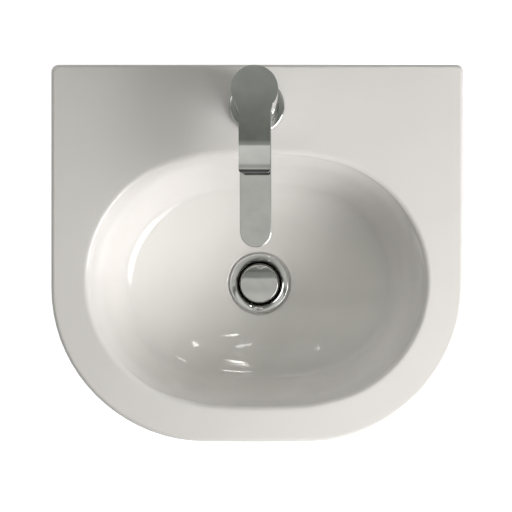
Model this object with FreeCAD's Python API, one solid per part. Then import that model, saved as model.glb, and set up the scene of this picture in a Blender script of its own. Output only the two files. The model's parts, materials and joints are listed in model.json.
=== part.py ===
import FreeCAD, Part
import math
import os

from FreeCAD import Vector

# Wall-hung hand basin with a single-lever mixer tap and a push waste, in millimetres.
# The wall is the plane y = 0, the front looks towards -Y, +Z is up, and the origin lies midway
# between the two wall-fixing holes, on the back of the ceramic.

# Counts and angles
full_turn = 360.0
half = 0.5
hexagon_sides = 6
quarters = 4

# One overrun for all cuts, and the share of a size that counts as level
overrun = 5.0
level_share = 0.01

# Ceramic basin
basin_width = 400.0
basin_depth = 366.0
basin_height = 160.0
rim_above_bolts = 65.0
front_corner_radius = 146.0
front_bow = 3.0
back_corner_radius = 7.0
rim_edge_radius = 4.0
ceramic_wall = 9.0
deck_thickness = 14.0
back_panel = 12.0
side_rim = 33.5
front_rim = 33.0
deck_depth = 83.0
bowl_depth = 114.0
bowl_lip_radius = 7.0
bowl_join_angle = 10.0

# Outer skin from the rim down: height, width, depth and corner, as shares of the rim's sizes
skin_shares = (
    (0.00, 1.000, 1.000, 1.000),
    (0.06, 1.000, 1.000, 1.000),
    (0.14, 0.999, 0.999, 1.000),
    (0.30, 0.986, 0.991, 0.990),
    (0.50, 0.940, 0.960, 0.950),
    (0.66, 0.870, 0.914, 0.885),
    (0.80, 0.780, 0.856, 0.800),
    (0.91, 0.685, 0.798, 0.705),
    (0.98, 0.605, 0.752, 0.625),
    (1.00, 0.560, 0.728, 0.580),
)

# Bowl from the rim down: depth, width, length and the move towards the waste, as shares
bowl_shares = (
    (0.00, 1.000, 1.000, 0.00),
    (0.18, 0.968, 0.958, 0.20),
    (0.40, 0.936, 0.915, 0.45),
    (0.60, 0.900, 0.868, 0.70),
    (0.73, 0.855, 0.805, 0.85),
    (0.82, 0.775, 0.705, 0.95),
    (0.89, 0.640, 0.560, 1.00),
    (0.95, 0.430, 0.400, 1.00),
)
bowl_mouth_share = 0.045
bowl_mouth_growth_share = 0.009

# Holes and hollows of the ceramic
wall_bolt_spacing = 180.0
wall_bolt_hole_radius = 7.0
tap_from_wall = 41.0
tap_hole_radius = 17.5
waste_from_wall = 215.0
waste_hole_radius = 22.5
waste_seat_radius = 34.0
waste_seat_depth = 3.0
waste_seat_border = 4.0
waste_seat_edge = 2.5
waste_boss_wall = 15.0
overflow_fall_share = 0.40
overflow_length_share = 0.915
overflow_shift_share = 0.45
overflow_radius = 9.0
duct_top_below_rim = 34.0
duct_width = 40.0
duct_gap = 11.0
duct_wall = 6.0
service_width = 196.0
service_depth = 92.0

# Tap body and spout, heights above the deck
base_gasket_radius = 25.0
base_gasket_thickness = 1.5
base_ring_radius = 26.5
base_ring_height = 6.0
base_ring_ledge = 2.0
base_ring_edge = 1.5
base_ring_clearance = 0.15
body_radius = 20.5
spigot_clearance = 0.5
spigot_depth = 6.0
pivot_height = 87.0
spout_reach = 137.0
spout_width = 28.7
spout_top_height = 76.0
spout_fall = 3.0
spout_root_underside = 44.0
spout_tip_underside = 57.0
spout_flat_margin = 4.0
spout_edge_radius = 2.5
spout_wall = 2.5
passage_height = 6.0
passage_width = 16.0
outlet_radius = 4.0
outlet_forward = 10.0
inlet_side = 6.5
inlet_forward = 1.0
inlet_thread_radius = 4.5
inlet_thread_depth = 16.0
inlet_radius = 3.6

# Tap fixing under the deck
stud_radius = 4.0
stud_back = 12.0
stud_in_body = 14.0
stud_length = 68.0
stud_clearance = 0.3
fixing_gasket_thickness = 3.0
fixing_plate_thickness = 2.5
fixing_plate_radius = 23.0
hose_slot_width = 24.0
hose_slot_back = 4.5
hose_slot_corner = 2.0
fixing_nut_across_flats = 13.0
fixing_nut_height = 8.0

# Cartridge
cartridge_radius = 17.4
cartridge_clearance = 0.2
cartridge_below_pivot = 27.0
cartridge_base_height = 6.0
cartridge_wall = 3.2
cartridge_roof = 4.0
peg_radius = 1.5
peg_length = 2.5
peg_side = 13.0
peg_clearance = 0.1
port_radius = 3.2
port_seal_radius = 4.8
port_seal_height = 1.5
port_seal_clearance = 0.1
disc_radius = 13.5
disc_thickness = 3.0
moving_disc_radius = 10.8
moving_disc_thickness = 3.5
mixing_pocket_depth = 1.5
mixing_pocket_radius = 6.5
carrier_height = 4.5
carrier_flat = 8.6
carrier_slot_floor = 0.8
disc_gap = 0.02
rotor_radius = 12.0
rotor_clearance = 0.15
rotor_flange_radius = 13.7
rotor_flange_height = 4.5
rotor_below_pivot = 9.0
rotor_above_pivot = 4.0
rotor_prong_length = 4.5
rotor_prong_width = 10.0
rotor_prong_clearance = 0.3
stem_slot_length = 11.0
stem_slot_clearance = 0.3
pin_radius = 1.5
pin_clearance = 0.03
cartridge_nut_radius = 18.9
cartridge_nut_hole_radius = 13.0
cartridge_nut_height = 5.0
cartridge_nut_clearance = 0.05
cartridge_nut_notch = 4.0
cartridge_nut_notches = 4

# Dome cover
dome_overhang = 1.5
dome_thickness = 1.2
dome_hole_radius = 13.5
dome_skirt = 2.6
dome_clearance = 0.1

# Lever
lever_gap = 0.5
lever_lip = 0.6
lever_roof = 3.5
tongue_length = 69.0
tongue_width = 27.3
tongue_thickness = 8.0
tongue_tip_thickness = 5.0
tongue_corner_radius = 3.0
neck_radius = 22.0
flick_length = 20.0
flick_radius = 60.0
lever_edge_radius = 1.2
stem_tilt = 12.5
stem_width = 7.2
stem_reach = 23.0
arm_reach = 11.0
arm_width = 4.0
ball_radius = 2.4
ball_clearance = 0.2
socket_radius = 8.2
socket_start = 14.0
socket_clearance = 0.1
socket_end_gap = 0.3
grub_radius = 2.0
grub_length = 4.4
grub_reach = 19.5
grub_key_width = 2.0
grub_key_depth = 2.0
grub_clearance = 0.05
plug_length = 2.6
plug_crown = 0.3

# Aerator
aerator_radius = 11.0
aerator_depth = 8.5
aerator_clearance = 0.1
aerator_wall = 2.0
aerator_lip_radius = 12.2
aerator_lip_height = 2.6
aerator_notch = 2.2
aerator_notches = 8
aerator_insert_height = 5.0
aerator_insert_clearance = 0.1
aerator_web = 0.9
aerator_hole_radius = 0.95
aerator_hole_pitch = 2.7
aerator_hole_rings = 2
aerator_washer_height = 2.0

# Waste, heights above the bowl floor
flange_clearance = 1.0
flange_seal_height = 2.0
flange_seal_margin = 3.0
flange_lip_height = 1.2
flange_crest_height = 1.6
flange_crest_width = 4.0
dish_depth = 0.6
cone_depth = 8.0
cone_width = 5.6
tail_radius = 20.95
throat_radius = 18.0
tail_length = 85.0
tail_end_radius = 20.2
tail_end_length = 20.0
overflow_slot_width = 18.0
overflow_slot_top = 14.0
overflow_slot_height = 16.0
spider_top = 34.0
spider_height = 8.0
spider_hub_radius = 7.0
spider_arm_width = 5.0
spider_arms = 3
under_seal_radius = 30.0
under_seal_height = 6.0
under_seal_taper = 5.0
under_seal_clearance = 0.15
waste_washer_radius = 31.0
waste_washer_height = 2.0
backnut_across_flats = 55.0
backnut_height = 9.0
backnut_clearance = 0.05

# Push mechanism and plug
clicker_radius = 6.5
clicker_bore = 5.0
clicker_top = 10.5
clicker_floor = 2.0
clicker_thread_radius = 4.0
clicker_clearance = 0.05
gland_height = 3.0
gland_clearance = 0.1
plunger_radius = 3.0
plunger_collar_clearance = 0.1
plunger_collar_height = 4.0
plunger_collar_gap = 0.3
plug_radius = 20.0
plug_edge_height = 4.0
plug_edge_thickness = 2.6
plug_rise = 3.2
plug_edge_radius = 0.8
plug_hub_radius = 6.0
plug_hub_length = 4.0
plug_thread_depth = 5.0
plug_seal_radius = 1.5
plug_seal_inset = 2.4
plug_seal_seat = 0.7
spring_wire = 0.8
spring_turns = 4
spring_end_gap = 0.3
spring_side_gap = 0.3

tap = Vector(0, -tap_from_wall, rim_above_bolts)
waste = Vector(0, -waste_from_wall, rim_above_bolts - bowl_depth)
up = Vector(0, 0, 1)

# Sizes that follow from the driving ones
bowl_half_width = half * basin_width - side_rim
bowl_half_length = half * (basin_depth - front_rim - deck_depth)
bowl_middle = deck_depth + bowl_half_length
body_foot = base_gasket_thickness + base_ring_ledge
spigot_radius = tap_hole_radius - spigot_clearance
dome_radius = body_radius + dome_overhang
dome_seat = pivot_height + math.sqrt(dome_radius**2 - body_radius**2)
chamber_radius = cartridge_radius + cartridge_clearance
chamber_floor = pivot_height - cartridge_below_pivot
cartridge_nut_bore = cartridge_nut_radius + cartridge_nut_clearance
disc_floor = chamber_floor + cartridge_base_height
moving_disc_floor = disc_floor + disc_thickness + disc_gap
carrier_floor = moving_disc_floor + moving_disc_thickness
rotor_floor = pivot_height - rotor_below_pivot
rotor_top = pivot_height + rotor_above_pivot
lever_hollow = dome_radius + lever_gap
lever_bottom = pivot_height + math.sqrt(lever_hollow**2 - (body_radius - lever_lip) ** 2)
lever_top = pivot_height + lever_hollow + lever_roof
pivot = tap + Vector(0, 0, pivot_height)
tilt = math.radians(stem_tilt)
stem_axis = Vector(0, -math.sin(tilt), math.cos(tilt))
grub_axis = Vector(0, -math.cos(tilt), -math.sin(tilt))
disc_offset = arm_reach * math.sin(tilt)
spout_slope = math.tan(math.radians(spout_fall))
aerator_forward = spout_reach - half * spout_width
aerator = tap + Vector(0, -aerator_forward, spout_tip_underside)
flange_radius = waste_seat_radius - flange_clearance
flange_floor = flange_seal_height - waste_seat_depth
ceramic_under = bowl_depth - basin_height
cone_mouth = throat_radius + cone_width


def closed_wire(start, *steps):
    """Closed wire; a step is an end point, or a point on an arc with the arc's end point."""
    edges = []
    here = start
    for step in steps + (start,):
        if isinstance(step, tuple):
            edges.append(Part.Arc(here, *step).toShape())
            here = step[-1]
        elif step != here:
            edges.append(Part.LineSegment(here, step).toShape())
            here = step
    return Part.Wire(edges)


def turned(centre, *profile):
    """Solid turned about the upright axis through centre; profile points are (radius, 0, height)."""
    solid = Part.Face(closed_wire(*profile)).revolve(Vector(), up, full_turn)
    solid.translate(centre)
    return solid


def at(radius, height):
    return Vector(radius, 0, height)


def rod(centre, radius, low, high):
    return Part.makeCylinder(radius, high - low, centre + Vector(0, 0, low))


def tube(centre, outer, inner, low, high):
    return rod(centre, outer, low, high).cut(rod(centre, inner, low, high))


def block(low, high):
    size = high - low
    return Part.makeBox(size.x, size.y, size.z, low)


def side_prism(half_width, *outline):
    """Prism along X from an outline of (0, y, z) points, centred on the plane x = 0."""
    face = Part.Face(closed_wire(*outline))
    face.translate(Vector(-half_width, 0, 0))
    return face.extrude(Vector(half_width + half_width, 0, 0))


def hexagon(centre, across_flats, low, high):
    corner = half * across_flats / math.cos(math.pi / hexagon_sides)
    turns = [math.tau * n / hexagon_sides for n in range(hexagon_sides)]
    points = [centre + Vector(corner * math.cos(a), corner * math.sin(a), low) for a in turns]
    return Part.Face(closed_wire(*points)).extrude(Vector(0, 0, high - low))


def d_section(half_width, front, corner, bow, back_corner, back, height):
    """D outline: straight back and sides, two large front corners and a bowed front."""
    corner_x = half_width - corner
    corner_y = corner + bow - front
    bow_radius = (corner_x**2 + (corner + bow) ** 2 - corner**2) / (bow + bow)
    bow_y = bow_radius - front
    turn = math.atan2(corner_x, bow_y - corner_y)
    bisector = half * (half * math.pi - turn)
    diagonal = back_corner * (1 - math.sqrt(half))

    def right(x, y):
        return Vector(x, y, height)

    def left(x, y):
        return Vector(-x, y, height)

    inner = (half_width - back_corner, -back)
    knuckle = (half_width - diagonal, -back - diagonal)
    side_top = (half_width, -back - back_corner)
    side_end = (half_width, corner_y)
    round_mid = (corner_x + corner * math.cos(bisector), corner_y - corner * math.sin(bisector))
    round_end = (bow_radius * math.sin(turn), bow_y - bow_radius * math.cos(turn))
    return closed_wire(
        left(*inner),
        right(*inner),
        (right(*knuckle), right(*side_top)),
        right(*side_end),
        (right(*round_mid), right(*round_end)),
        (right(0, -front), left(*round_end)),
        (left(*round_mid), left(*side_end)),
        left(*side_top),
        (left(*knuckle), left(*inner)),
    )


def oval_section(half_width, half_length, middle, height):
    """Four-arc oval: two tight ends and two long bulged sides."""
    join = math.radians(bowl_join_angle)
    apart = (half_width - half_length) / (math.sin(join) + math.cos(join) - 1)
    end_radius = half_length - apart * (1 - math.cos(join))
    join_x = half_width - end_radius + end_radius * math.sin(join)
    join_y = end_radius * math.cos(join)

    def place(x, y):
        return Vector(x, y - middle, height)

    return closed_wire(
        place(join_x, join_y),
        (place(0, half_length), place(-join_x, join_y)),
        (place(-half_width, 0), place(-join_x, -join_y)),
        (place(0, -half_length), place(join_x, -join_y)),
        (place(half_width, 0), place(join_x, join_y)),
    )


def skin(inset, back, top, height):
    """Outer body of the ceramic, or with an inset the hollow inside it."""
    sections = []
    for fall, width, depth, corner in skin_shares:
        sections.append(
            d_section(
                half * basin_width * width - inset,
                basin_depth * depth - inset,
                front_corner_radius * corner - inset,
                front_bow * corner,
                back_corner_radius,
                back,
                top - fall * height,
            )
        )
    return Part.makeLoft(sections, True, False)


def flat_backed(body):
    """Trims the back of the ceramic to the plane of the wall."""
    side = half * basin_width + overrun
    low = rim_above_bolts - basin_height - overrun
    high = rim_above_bolts + overrun
    return body.cut(block(Vector(-side, 0, low), Vector(side, overrun, high)))


def bowl(outset):
    """Hollow of the bowl, or with an outset the outside of its wall."""
    seat = waste_seat_radius + waste_seat_border
    floor = rim_above_bolts - bowl_depth
    mouth_growth = 1 + bowl_mouth_growth_share
    sections = [
        oval_section(
            bowl_half_width * mouth_growth + outset,
            bowl_half_length * mouth_growth + outset,
            bowl_middle,
            rim_above_bolts + bowl_mouth_share * bowl_depth - outset,
        )
    ]
    for fall, width, length, shift in bowl_shares:
        sections.append(
            oval_section(
                bowl_half_width * width + outset,
                bowl_half_length * length + outset,
                bowl_middle + shift * (waste_from_wall - bowl_middle),
                rim_above_bolts - fall * bowl_depth - outset,
            )
        )
    sections.append(oval_section(seat + outset, seat + outset, waste_from_wall, floor - outset))
    return Part.makeLoft(sections, True, False)


def bowl_back(length, shift):
    """Distance from the wall to the back of the bowl at one of its sections."""
    middle = bowl_middle + shift * (waste_from_wall - bowl_middle)
    return middle - bowl_half_length * length


def duct(spread, end_lift):
    """Overflow way behind and under the bowl; spread thickens it on all sides to its own wall."""
    behind = ceramic_wall + duct_gap + spread
    top = rim_above_bolts - duct_top_below_rim + spread
    floor = rim_above_bolts - basin_height + end_lift
    inside = Vector(0, -bowl_middle, top)
    rear = []
    for fall, width, length, shift in bowl_shares[1:-2]:
        height = min(top, rim_above_bolts - fall * bowl_depth)
        rear.append(Vector(0, behind - bowl_back(length, shift), height))
    foot = Vector(0, rear[-1].y, floor)
    return side_prism(
        half * duct_width + spread,
        inside,
        *rear,
        foot,
        Vector(0, -waste_from_wall, floor),
        Vector(0, -waste_from_wall, top),
    )


def basin():
    body = flat_backed(skin(0, -overrun * level_share, rim_above_bolts, basin_height))
    body = body.makeFillet(rim_edge_radius, level_edges(body, rim_above_bolts, basin_depth))
    foot = rim_above_bolts - basin_height
    hollow_top = rim_above_bolts - deck_thickness
    hollow_height = basin_height - deck_thickness - ceramic_wall
    hollow = skin(ceramic_wall, back_panel, hollow_top, hollow_height)
    service = block(
        Vector(-half * service_width, -service_depth, foot - overrun),
        Vector(half * service_width, -back_panel, 0),
    )
    boss = rod(waste, waste_hole_radius + waste_boss_wall, ceramic_under, 0)
    bowl_wall = bowl(ceramic_wall)
    hollow = hollow.fuse(service).cut(bowl_wall).cut(boss)
    hollow = hollow.cut(duct(duct_wall, 0))
    body = body.cut(hollow).cut(bowl(0))
    body = body.makeFillet(bowl_lip_radius, level_edges(body, rim_above_bolts, bowl_half_length))
    water_way = duct(0, ceramic_wall).cut(bowl_wall)
    body = body.cut(water_way).cut(overflow())
    body = body.cut(rod(waste, waste_hole_radius, ceramic_under - overrun, overrun))
    body = body.cut(rod(waste, waste_seat_radius, -waste_seat_depth, overrun))
    body = body.makeFillet(waste_seat_edge, seat_edges(body))
    body = body.cut(rod(tap, tap_hole_radius, -deck_thickness - overrun, overrun))
    for side in (-1, 1):
        bolt = Vector(side * half * wall_bolt_spacing, overrun, 0)
        length = back_panel + overrun + overrun
        body = body.cut(Part.makeCylinder(wall_bolt_hole_radius, length, bolt, Vector(0, -1, 0)))
    return body


def overflow():
    """Drill for the overflow hole, from inside the bowl to the middle of the duct."""
    start = Vector(0, -bowl_middle, rim_above_bolts - overflow_fall_share * bowl_depth)
    back = bowl_back(overflow_length_share, overflow_shift_share)
    end = ceramic_wall + half * duct_gap - back
    return Part.makeCylinder(overflow_radius, end + bowl_middle, start, Vector(0, 1, 0))


def level_edges(body, height, reach):
    """Edges at one height that stay within a reach, in front and behind, of the bowl's middle."""
    found = []
    for edge in body.Edges:
        box = edge.BoundBox
        level = abs(box.ZMin - height) + abs(box.ZMax - height)
        near = max(abs(box.YMin + bowl_middle), abs(box.YMax + bowl_middle))
        if level < overrun * level_share and near < reach + side_rim * level_share:
            found.append(edge)
    return found


def seat_edges(body):
    """The upper round edge of the recess that takes the waste's flange."""
    found = []
    for edge in level_edges(body, waste.z, bowl_half_length):
        if isinstance(edge.Curve, Part.Circle):
            if abs(edge.Curve.Radius - waste_seat_radius) < overrun * level_share:
                found.append(edge)
    return found


def tap_body():
    barrel = rod(tap, body_radius, body_foot, dome_seat)
    spigot = rod(tap, spigot_radius, -spigot_depth, body_foot)
    body = barrel.fuse(spout()).fuse(spigot)
    body = body.cut(rod(tap, chamber_radius, chamber_floor, dome_seat + overrun))
    nut_floor = dome_seat - dome_skirt - cartridge_nut_height
    body = body.cut(rod(tap, cartridge_nut_bore, nut_floor, dome_seat + overrun))
    outlet = tap + Vector(0, -outlet_forward, 0)
    body = body.cut(rod(outlet, outlet_radius, spout_root_underside + spout_wall, chamber_floor))
    body = body.cut(passage())
    body = body.cut(rod(aerator, aerator_radius + aerator_clearance, -overrun, aerator_depth))
    for inlet in inlets():
        body = body.cut(rod(inlet, inlet_thread_radius, -spigot_depth, inlet_thread_depth))
        body = body.cut(rod(inlet, inlet_radius, 0, chamber_floor))
    stud = tap + Vector(0, stud_back, 0)
    body = body.cut(rod(stud, stud_radius, -spigot_depth, stud_in_body))
    for peg in pegs():
        body = body.cut(rod(peg, peg_radius + peg_clearance, chamber_floor - peg_length, chamber_floor))
    return body


def inlets():
    return [tap + Vector(side * inlet_side, -inlet_forward, 0) for side in (-1, 1)]


def pegs():
    return [tap + Vector(side * peg_side, 0, 0) for side in (-1, 1)]


def spout():
    """Flat spout with a half-round end, from its plan and its side outline."""
    half_width = half * spout_width
    end = -aerator_forward
    low = spout_root_underside - overrun
    plan = closed_wire(
        Vector(half_width, 0, low),
        Vector(-half_width, 0, low),
        Vector(-half_width, end, low),
        (Vector(0, -spout_reach, low), Vector(half_width, end, low)),
    )
    plan = Part.Face(plan).extrude(Vector(0, 0, spout_top_height + overrun - low))
    flat_start = half_width + spout_flat_margin - aerator_forward
    far = -spout_reach - overrun
    side = side_prism(
        spout_width,
        Vector(0, 0, spout_top_height),
        Vector(0, far, spout_top_height + far * spout_slope),
        Vector(0, far, spout_tip_underside),
        Vector(0, flat_start, spout_tip_underside),
        Vector(0, -body_radius, spout_root_underside),
        Vector(0, 0, spout_root_underside),
    )
    solid = plan.common(side)
    solid = solid.makeFillet(spout_edge_radius, outer_edges(solid))
    solid.translate(tap)
    return solid


def outer_edges(solid):
    """The long and round edges of the spout's top and underside."""
    found = []
    for edge in solid.Edges:
        box = edge.BoundBox
        upright = box.ZLength > spout_edge_radius and box.YLength < spout_edge_radius
        inside_body = box.YMin > -overrun
        across = box.YLength < spout_edge_radius and box.XLength > half * spout_width
        if not upright and not inside_body and not across:
            found.append(edge)
    return found


def passage():
    """Water way through the spout, a wall's thickness inside its underside."""
    low = spout_root_underside + spout_wall
    tip_low = spout_tip_underside + spout_wall
    flat_start = half * spout_width + spout_flat_margin - aerator_forward
    solid = side_prism(
        half * passage_width,
        Vector(0, -outlet_forward, low),
        Vector(0, -body_radius, low),
        Vector(0, flat_start, tip_low),
        Vector(0, -aerator_forward, tip_low),
        Vector(0, -aerator_forward, tip_low + passage_height),
        Vector(0, flat_start, tip_low + passage_height),
        Vector(0, -body_radius, low + passage_height),
        Vector(0, -outlet_forward, low + passage_height),
    )
    solid.translate(tap)
    return solid


def base_ring():
    hole = spigot_radius + base_ring_clearance
    pocket = body_radius + base_ring_clearance
    top = base_ring_height
    shoulder = base_ring_radius - base_ring_edge
    diagonal = base_ring_edge * (1 - math.sqrt(half))
    return turned(
        tap,
        at(hole, base_gasket_thickness),
        at(base_ring_radius, base_gasket_thickness),
        at(base_ring_radius, top - base_ring_edge),
        (at(base_ring_radius - diagonal, top - diagonal), at(shoulder, top)),
        at(pocket, top),
        at(pocket, body_foot),
        at(hole, body_foot),
    )


def base_gasket():
    return tube(tap, base_gasket_radius, spigot_radius + base_ring_clearance, 0, base_gasket_thickness)


def fixing_stud():
    stud = tap + Vector(0, stud_back, 0)
    return rod(stud, stud_radius, stud_in_body - stud_length, stud_in_body)


def horseshoe(low, high):
    """Clamp plate open to the front for the two inlets."""
    plate = rod(tap, fixing_plate_radius, low, high)
    end = half * hose_slot_width
    inner = end - hose_slot_corner
    slot = closed_wire(
        tap + Vector(-end, -fixing_plate_radius - overrun, low),
        tap + Vector(end, -fixing_plate_radius - overrun, low),
        tap + Vector(end, hose_slot_back - hose_slot_corner, low),
        tap + Vector(inner, hose_slot_back, low),
        tap + Vector(-inner, hose_slot_back, low),
        tap + Vector(-end, hose_slot_back - hose_slot_corner, low),
    )
    plate = plate.cut(Part.Face(slot).extrude(Vector(0, 0, high - low)))
    stud = tap + Vector(0, stud_back, 0)
    return plate.cut(rod(stud, stud_radius + stud_clearance, low, high))


def fixing_gasket():
    return horseshoe(-deck_thickness - fixing_gasket_thickness, -deck_thickness)


def fixing_plate():
    top = -deck_thickness - fixing_gasket_thickness
    return horseshoe(top - fixing_plate_thickness, top)


def fixing_nut():
    top = -deck_thickness - fixing_gasket_thickness - fixing_plate_thickness
    stud = tap + Vector(0, stud_back, 0)
    nut = hexagon(stud, fixing_nut_across_flats, top - fixing_nut_height, top)
    return nut.cut(rod(stud, stud_radius, top - fixing_nut_height, top))


def ports():
    """Places of the hot, cold and mixed water ports in the cartridge floor."""
    return inlets() + [tap + Vector(0, -outlet_forward, 0)]


def cartridge_base():
    solid = rod(tap, cartridge_radius, chamber_floor, disc_floor)
    for peg in pegs():
        solid = solid.fuse(rod(peg, peg_radius, chamber_floor - peg_length, chamber_floor))
    groove = port_seal_height + port_seal_clearance
    for port in ports():
        solid = solid.cut(rod(port, port_radius, chamber_floor, disc_floor))
        wide = port_seal_radius + port_seal_clearance
        solid = solid.cut(rod(port, wide, chamber_floor, chamber_floor + groove))
    return solid


def cartridge_seals():
    top = chamber_floor + port_seal_height
    rings = [tube(port, port_seal_radius, port_radius, chamber_floor, top) for port in ports()]
    return Part.makeCompound(rings)


def fixed_disc():
    solid = rod(tap, disc_radius, disc_floor, disc_floor + disc_thickness)
    for port in ports():
        solid = solid.cut(rod(port, port_radius, disc_floor, disc_floor + disc_thickness))
    return solid


def moving_disc():
    centre = tap + Vector(0, disc_offset, 0)
    solid = rod(centre, moving_disc_radius, moving_disc_floor, carrier_floor)
    pocket_top = moving_disc_floor + mixing_pocket_depth
    return solid.cut(rod(centre, mixing_pocket_radius, moving_disc_floor, pocket_top))


def disc_carrier():
    centre = tap + Vector(0, disc_offset, 0)
    top = carrier_floor + carrier_height
    solid = rod(centre, moving_disc_radius, carrier_floor, top)
    side = moving_disc_radius + overrun
    keep = block(
        centre + Vector(-carrier_flat, -side, carrier_floor),
        centre + Vector(carrier_flat, side, top),
    )
    solid = solid.common(keep)
    slot = ball_radius + ball_clearance
    return solid.cut(
        block(
            centre + Vector(-slot, -slot, carrier_floor + carrier_slot_floor),
            centre + Vector(slot, slot, top),
        )
    )


def cartridge_housing():
    top = dome_seat - dome_skirt - cartridge_nut_height
    inner = cartridge_radius - cartridge_wall
    hole = rotor_radius + rotor_clearance
    return turned(
        tap,
        at(cartridge_radius, disc_floor),
        at(cartridge_radius, top),
        at(hole, top),
        at(hole, top - cartridge_roof),
        at(inner, top - cartridge_roof),
        at(inner, disc_floor),
    )


def cartridge_rotor():
    solid = rod(tap, rotor_radius, rotor_floor, rotor_top)
    solid = solid.fuse(rod(tap, rotor_flange_radius, rotor_floor, rotor_floor + rotor_flange_height))
    inner = carrier_flat + rotor_prong_clearance
    wide = half * rotor_prong_width
    for side in (-1, 1):
        ends = sorted((side * inner, side * rotor_radius))
        prong = block(
            tap + Vector(ends[0], -wide, rotor_floor - rotor_prong_length),
            tap + Vector(ends[1], wide, rotor_floor),
        )
        solid = solid.fuse(prong.common(rod(tap, rotor_radius, 0, rotor_floor)))
    slot_half = half * stem_width + stem_slot_clearance
    slot = block(
        tap + Vector(-slot_half, -half * stem_slot_length, rotor_floor),
        tap + Vector(slot_half, half * stem_slot_length, rotor_top),
    )
    return solid.cut(slot).cut(pin_rod(pin_radius))


def pin_rod(radius):
    reach = math.sqrt(rotor_radius**2 - pin_radius**2)
    return Part.makeCylinder(radius, reach + reach, pivot + Vector(-reach, 0, 0), Vector(1, 0, 0))


def stem_pin():
    return pin_rod(pin_radius)


def along_stem(width, start, end):
    """Square bar on the stem's slanted axis, between two distances from the pivot."""
    side = half * width
    bar = block(Vector(-side, -side, start), Vector(side, side, end))
    bar.rotate(Vector(), Vector(1, 0, 0), stem_tilt)
    bar.translate(pivot)
    return bar


def lever_stem():
    shoulder = half * stem_width
    solid = along_stem(stem_width, -shoulder, stem_reach)
    solid = solid.fuse(along_stem(arm_width, -arm_reach, -shoulder))
    ball = Part.makeSphere(ball_radius, pivot - stem_axis * arm_reach)
    return solid.fuse(ball).cut(pin_rod(pin_radius + pin_clearance))


def cartridge_nut():
    low = dome_seat - dome_skirt - cartridge_nut_height
    high = dome_seat - dome_skirt
    solid = tube(tap, cartridge_nut_radius, cartridge_nut_hole_radius, low, high)
    wide = half * cartridge_nut_notch
    for n in range(cartridge_nut_notches):
        notch = block(
            Vector(cartridge_nut_hole_radius - overrun, -wide, half * (low + high)),
            Vector(half * (cartridge_nut_hole_radius + cartridge_nut_radius), wide, high),
        )
        notch.rotate(Vector(), up, full_turn * n / cartridge_nut_notches)
        notch.translate(tap)
        solid = solid.cut(notch)
    return solid


def dome_cover():
    inner = dome_radius - dome_thickness
    skirt_outer = cartridge_nut_bore - dome_clearance
    skirt_inner = skirt_outer - dome_thickness
    low = dome_seat - dome_skirt + dome_clearance

    def on(radius, sphere):
        return at(radius, pivot_height + math.sqrt(sphere**2 - radius**2))

    outer_mid = half * (body_radius + dome_hole_radius)
    inner_mid = half * (skirt_inner + dome_hole_radius)
    return turned(
        tap,
        at(skirt_inner, low),
        at(skirt_outer, low),
        at(skirt_outer, dome_seat),
        at(body_radius, dome_seat),
        (on(outer_mid, dome_radius), on(dome_hole_radius, dome_radius)),
        on(dome_hole_radius, inner),
        (on(inner_mid, inner), on(skirt_inner, inner)),
    )


def tongue():
    """Tongue and neck of the lever from its plan and its side outline."""
    side = half * tongue_width
    head = body_radius
    neck_y = math.sqrt((head + neck_radius) ** 2 - (side + neck_radius) ** 2)
    touch = head / (head + neck_radius)
    touch_x = (side + neck_radius) * touch
    touch_y = -neck_y * touch
    bend = half * math.atan2(neck_y, side + neck_radius)
    neck_mid_x = side + neck_radius - neck_radius * math.cos(bend)
    neck_mid_y = neck_radius * math.sin(bend) - neck_y
    end = -tongue_length
    corner = tongue_corner_radius
    diagonal = corner * (1 - math.sqrt(half))
    low = lever_bottom

    def place(x, y):
        return Vector(x, y, low)

    plan = closed_wire(
        place(side - corner, end),
        (place(side - diagonal, end + diagonal), place(side, end + corner)),
        place(side, -neck_y),
        (place(neck_mid_x, neck_mid_y), place(touch_x, touch_y)),
        place(-touch_x, touch_y),
        (place(-neck_mid_x, neck_mid_y), place(-side, -neck_y)),
        place(-side, end + corner),
        (place(diagonal - side, end + diagonal), place(corner - side, end)),
    )
    rise = flick_radius - math.sqrt(flick_radius**2 - (flick_length + overrun) ** 2)
    high = lever_top + rise
    plan = Part.Face(plan).extrude(Vector(0, 0, high + overrun - low))
    return plan.common(tongue_side())


def tongue_side():
    """Side outline of the tongue: level, then turned up towards the end."""
    bend = flick_length - tongue_length
    far = flick_length + overrun
    mid = half * far

    def rise(run, radius):
        return radius - math.sqrt(radius**2 - run**2)

    under = lever_top - tongue_thickness
    tip_under = lever_top + rise(far, flick_radius) - tongue_tip_thickness
    under_mid = under + rise(mid, flick_radius) + (tongue_thickness - tongue_tip_thickness) * mid / far
    return side_prism(
        tongue_width,
        Vector(0, 0, lever_top),
        Vector(0, bend, lever_top),
        (
            Vector(0, bend - mid, lever_top + rise(mid, flick_radius)),
            Vector(0, bend - far, lever_top + rise(far, flick_radius)),
        ),
        Vector(0, bend - far, tip_under),
        (Vector(0, bend - mid, under_mid), Vector(0, bend, under)),
        Vector(0, 0, under),
    )


def lever():
    solid = rod(Vector(), body_radius, lever_bottom, lever_top).fuse(tongue()).removeSplitter()
    solid.translate(tap)
    solid = solid.makeFillet(lever_edge_radius, lever_rim(solid))
    solid = solid.cut(Part.makeSphere(lever_hollow, pivot))
    start = pivot + stem_axis * socket_start
    socket_length = lever_hollow + half * lever_roof - socket_start
    solid = solid.fuse(Part.makeCylinder(socket_radius, socket_length, start, stem_axis))
    clear = socket_clearance + socket_clearance
    end = stem_reach + socket_end_gap
    solid = solid.cut(along_stem(stem_width + clear, socket_start - overrun, end))
    return solid.cut(grub_rod(grub_radius + grub_clearance, 0, body_radius + overrun))


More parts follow.
